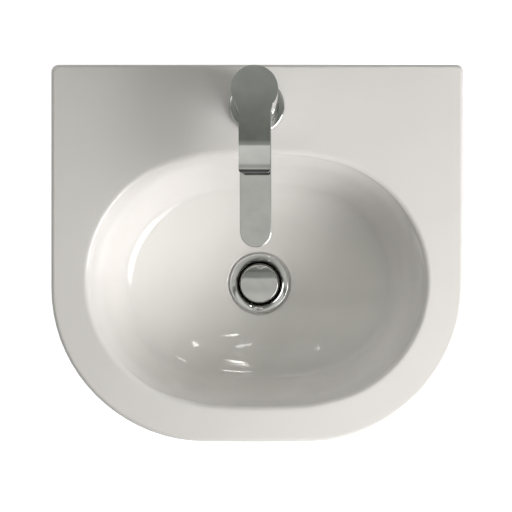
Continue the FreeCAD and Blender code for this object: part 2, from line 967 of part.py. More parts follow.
def lever_rim(solid):
    """Edges of the lever's outline, on its top and under its tongue."""
    found = []
    level = overrun * level_share
    tip = tap.y - tongue_length + lever_edge_radius
    for edge in solid.Edges:
        box = edge.BoundBox
        upright = box.ZLength > lever_edge_radius and box.YLength < lever_edge_radius
        seam = box.XLength > tongue_width - lever_edge_radius and box.YLength < level
        on_top = box.ZMin > tap.z + lever_top - level
        if on_top and not upright and not (seam and box.YMin > tip):
            found.append(edge)
    return found


def grub_rod(radius, start, end):
    """Rod on the clamping screw's axis, from a distance in front of the stem's axis to another."""
    origin = pivot + stem_axis * grub_reach + grub_axis * start
    return Part.makeCylinder(radius, end - start, origin, grub_axis)


def grub_screw():
    start = half * stem_width
    end = start + grub_length
    solid = grub_rod(grub_radius, start, end)
    return solid.cut(grub_rod(half * grub_key_width, end - grub_key_depth, end))


def screw_plug():
    end = (body_radius - grub_reach * math.sin(tilt)) / math.cos(tilt) + plug_crown
    return grub_rod(grub_radius, end - plug_length, end)


def aerator_housing():
    inner = aerator_radius - aerator_wall
    solid = tube(aerator, aerator_radius, inner, -aerator_lip_height, aerator_depth - aerator_washer_height)
    lip = tube(aerator, aerator_lip_radius, inner, -aerator_lip_height, 0)
    wide = half * aerator_notch
    for n in range(aerator_notches):
        notch = block(
            Vector(aerator_radius, -wide, -aerator_lip_height),
            Vector(aerator_lip_radius + overrun, wide, -half * aerator_lip_height),
        )
        notch.rotate(Vector(), up, full_turn * n / aerator_notches)
        notch.translate(aerator)
        lip = lip.cut(notch)
    return solid.fuse(lip).removeSplitter()


def aerator_insert():
    """Honeycomb stream former inside the aerator."""
    radius = aerator_radius - aerator_wall - aerator_insert_clearance
    low = aerator_depth - aerator_washer_height - aerator_insert_height
    high = aerator_depth - aerator_washer_height
    solid = rod(aerator, radius, low, high)
    for ring in range(aerator_hole_rings + 1):
        count = max(1, hexagon_sides * ring)
        for n in range(count):
            angle = math.tau * n / count
            reach = ring * aerator_hole_pitch
            centre = aerator + Vector(reach * math.cos(angle), reach * math.sin(angle), 0)
            solid = solid.cut(rod(centre, aerator_hole_radius, low, high))
    return solid


def aerator_washer():
    inner = aerator_radius - aerator_wall - aerator_web
    return tube(aerator, aerator_radius, inner, aerator_depth - aerator_washer_height, aerator_depth)


def waste_body():
    crest = flange_crest_height
    lip = flange_radius - flange_crest_width * half
    shoulder = half * (flange_radius + lip + flange_lip_height)
    shoulder_height = half * (crest + flange_floor + flange_lip_height)
    solid = turned(
        waste,
        at(throat_radius, -tail_length),
        at(tail_end_radius, -tail_length),
        at(tail_end_radius, tail_end_length - tail_length),
        at(tail_radius, tail_end_length - tail_length),
        at(tail_radius, flange_floor),
        at(flange_radius, flange_floor),
        at(flange_radius, flange_floor + half * flange_lip_height),
        (at(shoulder, shoulder_height), at(lip, crest)),
        at(cone_mouth, -dish_depth),
        at(throat_radius, -cone_depth),
    )
    for side in (-1, 1):
        solid = solid.cut(overflow_slot(side))
    return solid.fuse(spider()).removeSplitter()


def overflow_slot(side):
    wide = half * overflow_slot_width
    ends = sorted((side * half * throat_radius, side * (tail_radius + overrun)))
    return block(
        waste + Vector(-wide, ends[0], -overflow_slot_top - overflow_slot_height),
        waste + Vector(wide, ends[1], -overflow_slot_top),
    )


def spider():
    """Three-armed bridge across the tail that carries the push mechanism."""
    low = -spider_top - spider_height
    solid = rod(waste, spider_hub_radius, low, -spider_top)
    wide = half * spider_arm_width
    reach = half * (throat_radius + tail_radius)
    for n in range(spider_arms):
        arm = block(Vector(0, -wide, low), Vector(reach, wide, -spider_top))
        arm.rotate(Vector(), up, full_turn * n / spider_arms)
        arm.translate(waste)
        solid = solid.fuse(arm)
    return solid.cut(rod(waste, clicker_thread_radius, low, -spider_top))


def waste_top_seal():
    outer = flange_radius - flange_seal_margin
    return tube(waste, outer, tail_radius + under_seal_clearance, -waste_seat_depth, flange_floor)


def waste_under_seal():
    inner = tail_radius + under_seal_clearance
    return turned(
        waste,
        at(inner, ceramic_under - under_seal_height),
        at(under_seal_radius, ceramic_under - under_seal_height),
        at(under_seal_radius, ceramic_under - half * under_seal_height),
        at(under_seal_radius - under_seal_taper, ceramic_under),
        at(inner, ceramic_under),
    )


def waste_washer():
    top = ceramic_under - under_seal_height
    inner = tail_radius + under_seal_clearance
    return tube(waste, waste_washer_radius, inner, top - waste_washer_height, top)


def waste_backnut():
    top = ceramic_under - under_seal_height - waste_washer_height
    nut = hexagon(waste, backnut_across_flats, top - backnut_height, top)
    return nut.cut(rod(waste, tail_radius + backnut_clearance, top - backnut_height, top))


def clicker_barrel():
    low = -spider_top - spider_height
    floor = -spider_top + clicker_floor
    thread = clicker_thread_radius - clicker_clearance
    return turned(
        waste,
        at(0, low),
        at(thread, low),
        at(thread, -spider_top),
        at(clicker_radius, -spider_top),
        at(clicker_radius, -clicker_top - gland_height),
        at(clicker_bore, -clicker_top - gland_height),
        at(clicker_bore, floor),
        at(0, floor),
    )


def clicker_gland():
    hole = plunger_radius + gland_clearance
    return tube(waste, clicker_radius, hole, -clicker_top - gland_height, -clicker_top)


def collar_top():
    return -clicker_top - gland_height - plunger_collar_gap


def clicker_plunger():
    collar = clicker_bore - plunger_collar_clearance
    top = plug_edge_height - plug_hub_length + plug_thread_depth
    solid = rod(waste, plunger_radius, collar_top(), top)
    return solid.fuse(rod(waste, collar, collar_top() - plunger_collar_height, collar_top()))


def helix_wire(radius, pitch):
    """The spring's line as pairs of tangent arcs, one pair for each quarter turn."""
    edges = []
    for n in range(spring_turns * quarters):
        near, far = (helix_point(radius, pitch, n + step) for step in (0, 1))
        near_way, far_way = (helix_way(radius, pitch, n + step) for step in (0, 1))
        chord = far - near
        ways = near_way + far_way
        spare = (1 - near_way.dot(far_way)) / half
        run = (math.sqrt(chord.dot(ways) ** 2 + spare * chord.dot(chord)) - chord.dot(ways)) / spare
        near_corner = near + near_way * run
        far_corner = far - far_way * run
        join = (near_corner + far_corner) * half
        edges.append(tangent_arc(near, near_corner, join))
        edges.append(tangent_arc(join, far_corner, far))
    return Part.Wire(edges)


def helix_point(radius, pitch, step):
    angle = math.tau * step / quarters
    return Vector(radius * math.cos(angle), radius * math.sin(angle), pitch * step / quarters)


def helix_way(radius, pitch, step):
    angle = math.tau * step / quarters
    way = Vector(-math.sin(angle), math.cos(angle), pitch / (math.tau * radius))
    return way.normalize()


def tangent_arc(start, corner, end):
    """Arc from start to end that leaves and arrives along the lines to the corner."""
    middle = (start + end) * half
    half_chord = half * (end - start).Length
    bend = math.atan2((corner - middle).Length, half_chord)
    lift = math.tan(half * bend) / math.tan(bend)
    return Part.Arc(start, middle + (corner - middle) * lift, end).toShape()


def clicker_spring():
    """Round-wire spring between the barrel's floor and the plunger's collar."""
    wire_radius = half * spring_wire
    low = -spider_top + clicker_floor + spring_end_gap + wire_radius
    high = collar_top() - plunger_collar_height - spring_end_gap - wire_radius
    radius = clicker_bore - spring_side_gap - wire_radius
    pitch = (high - low) / spring_turns
    start = Vector(radius, 0, 0)
    slant = Vector(0, math.tau * radius, pitch)
    section = Part.Wire(Part.makeCircle(half * spring_wire, start, slant))
    solid = helix_wire(radius, pitch).makePipeShell([section], True, False)
    solid.translate(waste + Vector(0, 0, low))
    print("clicker_spring least gap between turns", round(pitch - spring_wire, 2), "mm")
    return solid


def plug_cap():
    """Shallow domed cap with a threaded hub under its middle."""
    low = plug_edge_height
    edge = low + plug_edge_thickness
    crown_radius = (plug_radius**2 + plug_rise**2) / (plug_rise + plug_rise)
    mid = half * plug_radius
    mid_height = edge + plug_rise - crown_radius + math.sqrt(crown_radius**2 - mid**2)
    hub_low = low - plug_hub_length
    diagonal = plug_edge_radius * (1 - math.sqrt(half))
    return turned(
        waste,
        at(0, edge + plug_rise),
        at(0, hub_low + plug_thread_depth),
        at(plunger_radius, hub_low + plug_thread_depth),
        at(plunger_radius, hub_low),
        at(plug_hub_radius, hub_low),
        at(plug_hub_radius, low),
        at(plug_radius - plug_edge_radius, low),
        (at(plug_radius - diagonal, low + diagonal), at(plug_radius, low + plug_edge_radius)),
        at(plug_radius, edge),
        (at(mid, mid_height), at(0, edge + plug_rise)),
    )


def plug_seal():
    ring = Part.makeTorus(plug_radius - plug_seal_inset, plug_seal_radius)
    ring.translate(waste + Vector(0, 0, plug_edge_height - plug_seal_seat))
    keep = rod(waste, plug_radius, plug_edge_height - overrun, plug_edge_height)
    return ring.common(keep)


sub_parts = (
    basin,
    tap_body,
    base_ring,
    base_gasket,
    fixing_stud,
    fixing_gasket,
    fixing_plate,
    fixing_nut,
    cartridge_base,
    cartridge_seals,
    fixed_disc,
    moving_disc,
    disc_carrier,
    cartridge_housing,
    cartridge_rotor,
    stem_pin,
    lever_stem,
    cartridge_nut,
    dome_cover,
    lever,
    grub_screw,
    screw_plug,
    aerator_housing,
    aerator_insert,
    aerator_washer,
    waste_body,
    waste_top_seal,
    waste_under_seal,
    waste_washer,
    waste_backnut,
    clicker_barrel,
    clicker_gland,
    clicker_plunger,
    clicker_spring,
    plug_cap,
    plug_seal,
)

os.makedirs("parts", exist_ok=True)
for make in sub_parts:
    shape = make()
    solids = len(shape.Solids)
    print(make.__name__, solids, shape.isValid(), round(shape.Volume), "mm3")
    shape.exportStep("parts/" + make.__name__ + ".step")
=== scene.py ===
# %% [markdown]
# # A wall-hung hand basin, dressed for its photograph
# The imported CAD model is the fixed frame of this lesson. Its solids already have the right sizes,
# so every piece made here takes its place from them, in metres: the wall is the plane y = 0,
# the front of the basin looks towards -Y, and +Z is up.
# The ceramic and the bright metal are modelled again, because glaze and chrome are mirrors,
# and a mirror shows every flat that a CAD mesh leaves in a curve.

import json
import math

import bmesh
import bpy
from mathutils import Matrix, Vector


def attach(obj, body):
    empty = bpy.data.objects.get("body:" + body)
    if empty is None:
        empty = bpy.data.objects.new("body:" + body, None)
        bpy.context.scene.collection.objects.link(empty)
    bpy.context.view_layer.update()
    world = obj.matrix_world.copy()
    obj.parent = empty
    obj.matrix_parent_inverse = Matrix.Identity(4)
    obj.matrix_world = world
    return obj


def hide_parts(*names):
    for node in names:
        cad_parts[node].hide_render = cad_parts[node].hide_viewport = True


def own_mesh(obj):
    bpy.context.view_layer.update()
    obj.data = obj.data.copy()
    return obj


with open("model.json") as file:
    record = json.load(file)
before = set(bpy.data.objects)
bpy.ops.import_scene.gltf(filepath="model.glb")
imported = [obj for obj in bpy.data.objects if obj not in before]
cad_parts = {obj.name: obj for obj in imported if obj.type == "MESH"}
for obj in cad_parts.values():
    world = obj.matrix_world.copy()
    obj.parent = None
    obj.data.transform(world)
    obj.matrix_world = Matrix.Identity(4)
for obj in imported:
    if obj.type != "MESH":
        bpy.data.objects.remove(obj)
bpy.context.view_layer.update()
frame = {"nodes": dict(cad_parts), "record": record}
MM = 0.001
TURN = math.tau

# %% [markdown]
# ## The camera
# The photograph was taken straight from above with a moderate telephoto lens, a little to the
# right of the middle. A vertical camera needs no rotation at all: Blender's camera looks down -Z
# with +Y up in the picture. The lens is moved sideways with shift instead of turning the camera,
# so that the straight back edge of the basin stays level.

# %% Camera
RIM = 65 * MM
CAMERA_PLACE = Vector((22.9, -185.7, 1115.0)) * MM
lens = bpy.data.cameras.new("photo_camera")
lens.lens = 76.3
lens.sensor_width = 36.0
lens.shift_x = -0.0486
lens.clip_end = 20.0
camera = bpy.data.objects.new("photo_camera", lens)
camera.location = CAMERA_PLACE
bpy.context.scene.collection.objects.link(camera)
bpy.context.scene.camera = camera
print("camera height above the rim:", round(CAMERA_PLACE.z - RIM, 3), "m")

# %% [markdown]
# ## Finishes
# Every finish is a Principled shader whose colour, roughness and fine relief come from noise on
# Object coordinates. An image texture could do it too, but noise has no seams and needs no
# unwrapping, and the pieces stay at the origin, so Object coordinates are the real place in metres.

# %% A helper for finishes
def make_finish(name, dark, light, rough, grain, relief, metallic=0.0):
    """Noise blends two colours and two roughnesses, and a finer noise gives the relief."""
    material = bpy.data.materials.new(name)
    material.use_nodes = True
    nodes, links = material.node_tree.nodes, material.node_tree.links
    shader = nodes["Principled BSDF"]
    shader.inputs["Metallic"].default_value = metallic
    place = nodes.new("ShaderNodeTexCoord")
    cloud = nodes.new("ShaderNodeTexNoise")
    cloud.inputs["Scale"].default_value = grain[0]
    cloud.inputs["Detail"].default_value = 4.0
    links.new(place.outputs["Object"], cloud.inputs["Vector"])
    tint = nodes.new("ShaderNodeValToRGB")
    tint.color_ramp.elements[0].position = 0.35
    tint.color_ramp.elements[0].color = (*dark, 1)
    tint.color_ramp.elements[1].position = 0.65
    tint.color_ramp.elements[1].color = (*light, 1)
    links.new(cloud.outputs["Fac"], tint.inputs["Fac"])
    links.new(tint.outputs["Color"], shader.inputs["Base Color"])
    wear = nodes.new("ShaderNodeMapRange")
    wear.inputs["From Min"].default_value = 0.3
    wear.inputs["From Max"].default_value = 0.7
    wear.inputs["To Min"].default_value = rough[0]
    wear.inputs["To Max"].default_value = rough[1]
    links.new(cloud.outputs["Fac"], wear.inputs["Value"])
    links.new(wear.outputs["Result"], shader.inputs["Roughness"])
    fine = nodes.new("ShaderNodeTexNoise")
    fine.inputs["Scale"].default_value = grain[1]
    fine.inputs["Detail"].default_value = 3.0
    links.new(place.outputs["Object"], fine.inputs["Vector"])
    bump = nodes.new("ShaderNodeBump")
    bump.inputs["Strength"].default_value = relief[0]
    bump.inputs["Distance"].default_value = relief[1]
    links.new(fine.outputs["Fac"], bump.inputs["Height"])
    links.new(bump.outputs["Normal"], shader.inputs["Normal"])
    return material


# %% The finishes of this basin
# Each row: name, dark and light colour, roughness, noise scales, strength and depth of the relief,
# and 1.0 at the end for metals.
FINISH_ROWS = {
    "glazed_ceramic": (
        "white_glaze", (0.80, 0.788, 0.772), (0.83, 0.818, 0.802), (0.05, 0.09), (9, 45), (0.05, 0.0006),
    ),
    "polished_chrome": (
        "bright_chrome", (0.70, 0.71, 0.72), (0.76, 0.77, 0.775), (0.035, 0.075), (60, 900),
        (0.03, 0.00005), 1.0,
    ),
    "bright_brass": (
        "plain_brass", (0.60, 0.44, 0.20), (0.72, 0.55, 0.28), (0.22, 0.36), (90, 1200),
        (0.2, 0.0001), 1.0,
    ),
    "zinc_steel": (
        "zinc_plate", (0.46, 0.47, 0.48), (0.60, 0.61, 0.62), (0.28, 0.44), (120, 1500),
        (0.25, 0.0001), 1.0,
    ),
    "black_rubber": (
        "black_rubber", (0.012, 0.012, 0.013), (0.03, 0.03, 0.032), (0.6, 0.8), (150, 1800),
        (0.35, 0.0002),
    ),
    "grey_plastic": (
        "grey_plastic", (0.22, 0.23, 0.24), (0.27, 0.28, 0.29), (0.38, 0.5), (110, 2500), (0.2, 0.0001),
    ),
    "white_plastic": (
        "white_plastic", (0.70, 0.70, 0.68), (0.76, 0.76, 0.74), (0.35, 0.48), (110, 2500), (0.2, 0.0001),
    ),
    "alumina_disc": (
        "alumina", (0.72, 0.70, 0.65), (0.78, 0.76, 0.71), (0.15, 0.25), (140, 2200), (0.1, 0.00005),
    ),
}
FINISHES = {slot: make_finish(*row) for slot, row in FINISH_ROWS.items()}
SLOTS = {row["node"]: row["material_slot"] for row in frame["record"]["subparts"]}
print("finishes:", sorted(FINISHES))

# %% [markdown]
# ## Tools for rings
# A basin is a stack of rings: the edge of the rim, the wall of the bowl, the skin of the casting.
# So one outline is drawn flat, and then it is extruded ring by ring, each ring moved and scaled
# to the next height. A model maker can shape the master of a plaster mould in the same way, with
# one template for each height.
# The corners of an outline are rounded with a vertex bevel, which gives true arcs.

# %% Ring helpers
LOOP_WELD = 0.02 * MM


def new_edges(bm, before):
    return [edge for edge in bm.edges if edge not in before]


def points_of(items):
    return [item for item in items if isinstance(item, bmesh.types.BMVert)]


def ring_points(ring):
    """Each point of a ring once, in the order of its edges."""
    return list(dict.fromkeys(vert for edge in ring for vert in edge.verts))


def rounded_loop(bm, half_width, back, front, back_radius, front_radius, height, steps, spacing):
    """A flat loop with four rounded corners, and points along its straight sides."""
    before = set(bm.edges)
    corners = ((-half_width, back), (half_width, back), (half_width, front), (-half_width, front))
    points = [bm.verts.new((x, y, height)) for x, y in corners]
    bm.faces.new(points)
    for pair, radius in ((points[:2], back_radius), (points[2:], front_radius)):
        bmesh.ops.bevel(
            bm, geom=pair, offset=radius, offset_type="OFFSET", segments=steps,
            profile=0.5, affect="VERTICES", material=-1,
        )
    ring = new_edges(bm, before)
    faces = list(dict.fromkeys(face for edge in ring for face in edge.link_faces))
    bmesh.ops.delete(bm, geom=faces, context="FACES_ONLY")
    for edge in ring:
        cuts = round(edge.calc_length() / spacing) - 1
        if cuts > 0:
            bmesh.ops.subdivide_edges(bm, edges=[edge], cuts=cuts)
    ring = new_edges(bm, before)
    bmesh.ops.remove_doubles(bm, verts=ring_points(ring), dist=LOOP_WELD)
    return new_edges(bm, before)


def round_loop(bm, radius, centre, segments):
    before = set(bm.edges)
    bmesh.ops.create_circle(bm, segments=segments, radius=radius, matrix=Matrix.Translation(centre))
    return new_edges(bm, before)


def grow(bm, ring, move):
    """Extrudes a ring of edges and moves each new point."""
    made = bmesh.ops.extrude_edge_only(bm, edges=ring)["geom"]
    for point in points_of(made):
        point.co = move(point.co)
    return [item for item in made if isinstance(item, bmesh.types.BMEdge)]


def flat_fill(bm, loops, normal):
    """Fills the flat space between an outer loop and the holes in it."""
    edges = [edge for loop in loops for edge in loop]
    bmesh.ops.triangle_fill(bm, edges=edges, use_beauty=True, normal=normal)


def eased_rows(rows, steps):
    """Puts further rows between the given ones, on a smooth curve through them all."""
    eased = []
    for n, (start, end) in enumerate(zip(rows, rows[1:])):
        before = rows[max(n - 1, 0)]
        after = rows[min(n + 2, len(rows) - 1)]
        for step in range(steps):
            t = step / steps
            row = []
            for a, b, c, d in zip(before, start, end, after):
                slope_b, slope_c = (c - a) / 2, (d - b) / 2
                lift = (2 * t**3 - 3 * t**2 + 1) * b + (t**3 - 2 * t**2 + t) * slope_b
                row.append(lift + (3 * t**2 - 2 * t**3) * c + (t**3 - t**2) * slope_c)
            eased.append(row)
    return eased + [list(rows[-1])]


# %% [markdown]
# ## Tools for turned pieces
# Rings, flanges, nuts and seals come off a lathe. Their outline is drawn once, as radius and height,
# and spun about an upright axis. After that the sharp edges that show get a small round, as a polished
# or moulded edge has, because without it no edge would catch the light.

# %% Lathe helpers
FINE_WELD = 0.004 * MM


def lathe(bm, centre, outline, steps):
    """Spins an outline of (radius, height) points, in millimetres, about an upright axis."""
    points = [bm.verts.new((centre.x + r * MM, centre.y, z * MM)) for r, z in outline]
    pairs = zip(points, points[1:] + points[:1])
    edges = [bm.edges.new(pair) for pair in pairs if max(pair[0].co.x, pair[1].co.x) > centre.x]
    bmesh.ops.spin(
        bm, geom=points + edges, cent=centre, axis=(0, 0, 1), angle=TURN, steps=steps, use_merge=True
    )
    bmesh.ops.remove_doubles(bm, verts=bm.verts[:], dist=FINE_WELD)
    bmesh.ops.recalc_face_normals(bm, faces=bm.faces[:])


def sharp_edges(bm, keep, least):
    found = []
    for edge in bm.edges:
        if len(edge.link_faces) == 2 and edge.calc_face_angle() > math.radians(least):
            middle = (edge.verts[0].co + edge.verts[1].co) / 2
            if keep(middle):
                found.append(edge)
    return found


def soften(bm, radius, steps, keep=lambda middle: True, least=28.0):
    """Rounds the sharp edges whose middle is kept."""
    bmesh.ops.bevel(
        bm, geom=sharp_edges(bm, keep, least), offset=radius * MM, offset_type="OFFSET",
        segments=steps, profile=0.5, affect="EDGES", clamp_overlap=True, material=-1,
    )


def thread(bm, centre, core, crest, low, high, pitch, steps):
    """A helical ridge: one small tooth, spun and lifted at the same time."""
    turns = round((high - low) / pitch) - 1
    tooth = ((core, 0.06), (crest, 0.38), (crest, 0.62), (core, 0.94))
    points = [bm.verts.new((centre.x + r * MM, centre.y, (low + z * pitch) * MM)) for r, z in tooth]
    face = bm.faces.new(points)
    bmesh.ops.spin(
        bm, geom=[face], cent=centre, axis=(0, 0, 1), angle=TURN * turns, steps=steps * turns,
        dvec=(0, 0, pitch * MM / steps), use_duplicate=False,
    )
    bmesh.ops.recalc_face_normals(bm, faces=bm.faces[:])


# %% [markdown]
# ## Tools for joining, and for finished pieces
# Castings join forms that no single tool makes, so two closed meshes can be joined, cut or
# intersected with a boolean. A finished mesh becomes a piece: it gets its material, rides on a body of
# the CAD model and takes the place of a CAD node. The count of open edges shows that it is closed.

# %% Helpers for booleans and pieces
CUT_WELD = 0.03 * MM
SHARP_ANGLE = math.radians(35)


def closed_mesh(bm, name):
    bmesh.ops.remove_doubles(bm, verts=bm.verts[:], dist=FINE_WELD)
    bmesh.ops.recalc_face_normals(bm, faces=bm.faces[:])
    mesh = bpy.data.meshes.new(name)
    bm.to_mesh(mesh)
    bm.free()
    return mesh


def joined(bm, tool_bm, operation):
    """A boolean of two closed meshes, as a new bmesh."""
    holders = []
    for each, name in ((bm, "body"), (tool_bm, "tool")):
        holder = bpy.data.objects.new(name, closed_mesh(each, name))
        bpy.context.scene.collection.objects.link(holder)
        holders.append(holder)
    cut = holders[0].modifiers.new("cut", "BOOLEAN")
    cut.operation, cut.object, cut.solver = operation, holders[1], "EXACT"
    found = holders[0].evaluated_get(bpy.context.evaluated_depsgraph_get())
    result = bmesh.new()
    result.from_mesh(found.data)
    bmesh.ops.remove_doubles(result, verts=result.verts[:], dist=CUT_WELD)
    for holder in holders:
        bpy.data.meshes.remove(holder.data)
    return result


def add_piece(bm, name, body, slot, nodes, even=False):
    """Makes an object of a closed mesh, which rides on a body and replaces CAD nodes."""
    open_edges = sum(1 for edge in bm.edges if len(edge.link_faces) != 2)
    mesh = closed_mesh(bm, name)
    mesh.shade_smooth()
    mesh.set_sharp_from_angle(angle=SHARP_ANGLE)
    mesh.materials.append(FINISHES[slot])
    piece = bpy.data.objects.new(name, mesh)
    bpy.context.scene.collection.objects.link(piece)
    if even:
        piece.modifiers.new("even_normals", "WEIGHTED_NORMAL").keep_sharp = True
    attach(piece, body)
    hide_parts(*nodes)
    print(name, "faces:", len(mesh.polygons), "open edges:", open_edges)
    return piece


# %% [markdown]
# ## The ceramic, outside
# The casting is D-shaped: a straight back against the wall, straight sides, two large front
# corners and a front that bows out a little. Its skin stays upright under the rim and then
# curves in towards the foot. The rows below say how far each ring lies below the rim, as a share of
# the height, and give its width and depth as shares of the rim's, which are the CAD model's.

# %% Outer skin
WHITE = bmesh.new()
FOOT = -95 * MM
HALF_WIDTH, DEPTH, BOW = 200 * MM, 366 * MM, 3 * MM
BACK_CORNER, FRONT_CORNER = 7 * MM, 146 * MM
RIM_EDGE, EDGE_STEPS, SUPPORT = 4 * MM, 6, 1.2 * MM
FOOT_SHARE, FOOT_BACK = 0.985, -2 * MM
MIDDLE_Y = -DEPTH / 2
SKIN_ROWS = (
    (0.025, 1.000, 1.000), (0.06, 1.000, 1.000), (0.14, 0.999, 0.999), (0.30, 0.986, 0.991),
    (0.50, 0.940, 0.960), (0.66, 0.870, 0.914), (0.80, 0.780, 0.856), (0.91, 0.685, 0.798),
    (0.98, 0.605, 0.752), (1.00, 0.560, 0.728),
)


def bowed(point):
    """Bows the front edge of the D outwards, most in the middle."""
    ease = math.cos(math.pi / 2 * point.x / HALF_WIDTH) ** 2
    share = max(0.0, (MIDDLE_Y - point.y) / (DEPTH / 2))
    return Vector((point.x, point.y - BOW * ease * share, point.z))


def inset_move(inset, height, half_x, half_y, centre_y):
    """Moves a ring in by the same amount on all sides, to a height."""
    def move(point):
        x = point.x * (half_x - inset) / half_x
        y = centre_y + (point.y - centre_y) * (half_y - inset) / half_y
        return Vector((x, y, height))
    return move


d_loop = rounded_loop(
    WHITE, HALF_WIDTH, 0.0, BOW - DEPTH, BACK_CORNER, FRONT_CORNER, RIM - RIM_EDGE,
    steps=18, spacing=14 * MM,
)
for point in ring_points(d_loop):
    point.co = bowed(point.co)
edge_ring = d_loop
for step in range(1, EDGE_STEPS + 1):
    angle = TURN / 4 * step / EDGE_STEPS
    inset = RIM_EDGE * (math.cos(angle - TURN / 4 / EDGE_STEPS) - math.cos(angle))
    height = RIM - RIM_EDGE * (1 - math.sin(angle))
    edge_ring = grow(WHITE, edge_ring, inset_move(inset, height, HALF_WIDTH, DEPTH / 2, MIDDLE_Y))
top_ring = grow(WHITE, edge_ring, inset_move(SUPPORT, RIM, HALF_WIDTH, DEPTH / 2, MIDDLE_Y))

skin_ring, wide, deep = d_loop, 1.0, 1.0
for fall, width, depth in eased_rows(SKIN_ROWS, 5)[1:]:
    height = RIM - fall * (RIM - FOOT)
    skin_ring = grow(
        WHITE, skin_ring,
        lambda p: Vector((p.x * min(width, 1.0) / wide, p.y * min(depth, 1.0) / deep, height)),
    )
    wide, deep = min(width, 1.0), min(depth, 1.0)
foot_ring = grow(
    WHITE, skin_ring, lambda p: Vector((p.x * FOOT_SHARE, FOOT_BACK + p.y * FOOT_SHARE, FOOT))
)
print("outer skin faces:", len(WHITE.faces))

# %% [markdown]
# ## The bowl
# The bowl is an oval with blunt ends. Below a soft lip its wall falls steeply, turns into the floor
# at a clear bend, and the floor leads to the waste. A revolve can't make it, because it isn't round,
# and a boolean would leave a hard lip. So the same ring method is used, and the rings turn
# into a circle as they come near the waste.

# %% Bowl
BOWL_X, BOWL_Y, BOWL_MIDDLE = 163 * MM, 122 * MM, -209 * MM
BOWL_DEPTH, LIP = 114 * MM, 5.5 * MM
WASTE_Y = -215
WASTE = Vector((0, WASTE_Y * MM, RIM - BOWL_DEPTH))
OVAL_BOW, OVAL_FLAT = 4 * MM, 66 * MM
WALL_SPREAD, WALL_START = 0.24 * MM, 5.2 * MM
LIP_ANGLES = (70, 60, 49, 36, 24, 12, 0)
# Each row: share of the depth, width, length, way towards the waste, and how round the ring is.
BOWL_ROWS = (
    (0.0456, 1.0014, 1.002, 0.05, 0.0), (0.18, 0.968, 0.958, 0.20, 0.0),
    (0.40, 0.936, 0.915, 0.45, 0.0), (0.58, 0.904, 0.874, 0.68, 0.0),
    (0.68, 0.8805, 0.840, 0.79, 0.02), (0.722, 0.869, 0.8235, 0.835, 0.035),
    (0.745, 0.8605, 0.8125, 0.865, 0.05), (0.759, 0.8505, 0.7999, 0.882, 0.063),
    (0.772, 0.837, 0.7811, 0.90, 0.08), (0.786, 0.819, 0.7518, 0.92, 0.099),
    (0.808, 0.7849, 0.6938, 0.948, 0.132), (0.838, 0.7297, 0.6207, 0.972, 0.185),
    (0.880, 0.6286, 0.5384, 0.995, 0.30), (0.938, 0.4471, 0.4343, 1.00, 0.60),
    (1.00, 0.228, 0.304, 1.00, 1.0),
)


def oval_loop(bm, spread, height):
    """The oval of the bowl, grown by a spread on all sides."""
    ends = BOWL_Y - OVAL_BOW + spread
    radius = ends - 0.05 * MM
    loop = rounded_loop(
        bm, BOWL_X + spread, BOWL_MIDDLE + ends, BOWL_MIDDLE - ends, radius, radius, height,
        steps=26, spacing=8 * MM,
    )
    for point in ring_points(loop):
        share = max(0.0, 1 - (point.co.x / OVAL_FLAT) ** 2)
        point.co.y += math.copysign(OVAL_BOW * share, point.co.y - BOWL_MIDDLE)
    return loop


def oval_move(row, last, height, spread):
    """Takes a ring from one row of the bowl to the next."""
    _, width, length, shift, roundness = row
    old_y = BOWL_MIDDLE + last[3] * (WASTE.y - BOWL_MIDDLE)
    new_y = BOWL_MIDDLE + shift * (WASTE.y - BOWL_MIDDLE)
    scale_x = (BOWL_X * width + spread) / (BOWL_X * last[1] + spread)
    scale_y = (BOWL_Y * length + spread) / (BOWL_Y * last[2] + spread)
    left = (roundness - last[4]) / max(1 - last[4], 0.001)
    mean = (BOWL_X * width + BOWL_Y * length) / 2 + spread

    def move(point):
        flat = Vector((point.x * scale_x, (point.y - old_y) * scale_y))
        flat = flat.lerp(flat.normalized() * mean, left)
        return Vector((flat.x, new_y + flat.y, height))
    return move


wall_loop = oval_loop(WHITE, WALL_SPREAD, RIM - WALL_START)
lip_ring, grown = wall_loop, WALL_SPREAD
for angle in LIP_ANGLES:
    spread = LIP * (1 - math.sin(math.radians(angle)))
    height = RIM - LIP * (1 - math.cos(math.radians(angle)))
    lip_ring = grow(
        WHITE, lip_ring,
        inset_move(grown - spread, height, BOWL_X + grown, BOWL_Y + grown, BOWL_MIDDLE),
    )
    grown = spread
rim_ring = grow(
    WHITE, lip_ring, inset_move(-SUPPORT, RIM, BOWL_X + grown, BOWL_Y + grown, BOWL_MIDDLE)
)

bowl_rows = eased_rows(BOWL_ROWS, 6)
bowl_ring = wall_loop
for last, row in zip(bowl_rows, bowl_rows[1:]):
    bowl_ring = grow(WHITE, bowl_ring, oval_move(row, last, RIM - row[0] * BOWL_DEPTH, 0))
print("with the bowl:", len(WHITE.faces))

# %% [markdown]
# ## The seat of the waste, the tap hole and the deck
# The flange of the waste lies in a shallow recess with a soft edge, and its tail goes down through
# a hole. The deck behind the bowl is flat, so it can be filled between its loops
# in one step, with the tap hole left open.

# %% Seat, holes and deck
TAP_Y = -41
TAP, TAP_HOLE = Vector((0, TAP_Y * MM, RIM)), 17.5 * MM
SEAT, SEAT_EDGE, SEAT_DEPTH, WASTE_HOLE = 33 * MM, 2.9 * MM, 3.0 * MM, 22.5 * MM


def circle_move(centre, radius, height):
    def move(point):
        way = Vector((point.x - centre.x, point.y - centre.y)).normalized() * radius
        return Vector((centre.x + way.x, centre.y + way.y, height))
    return move


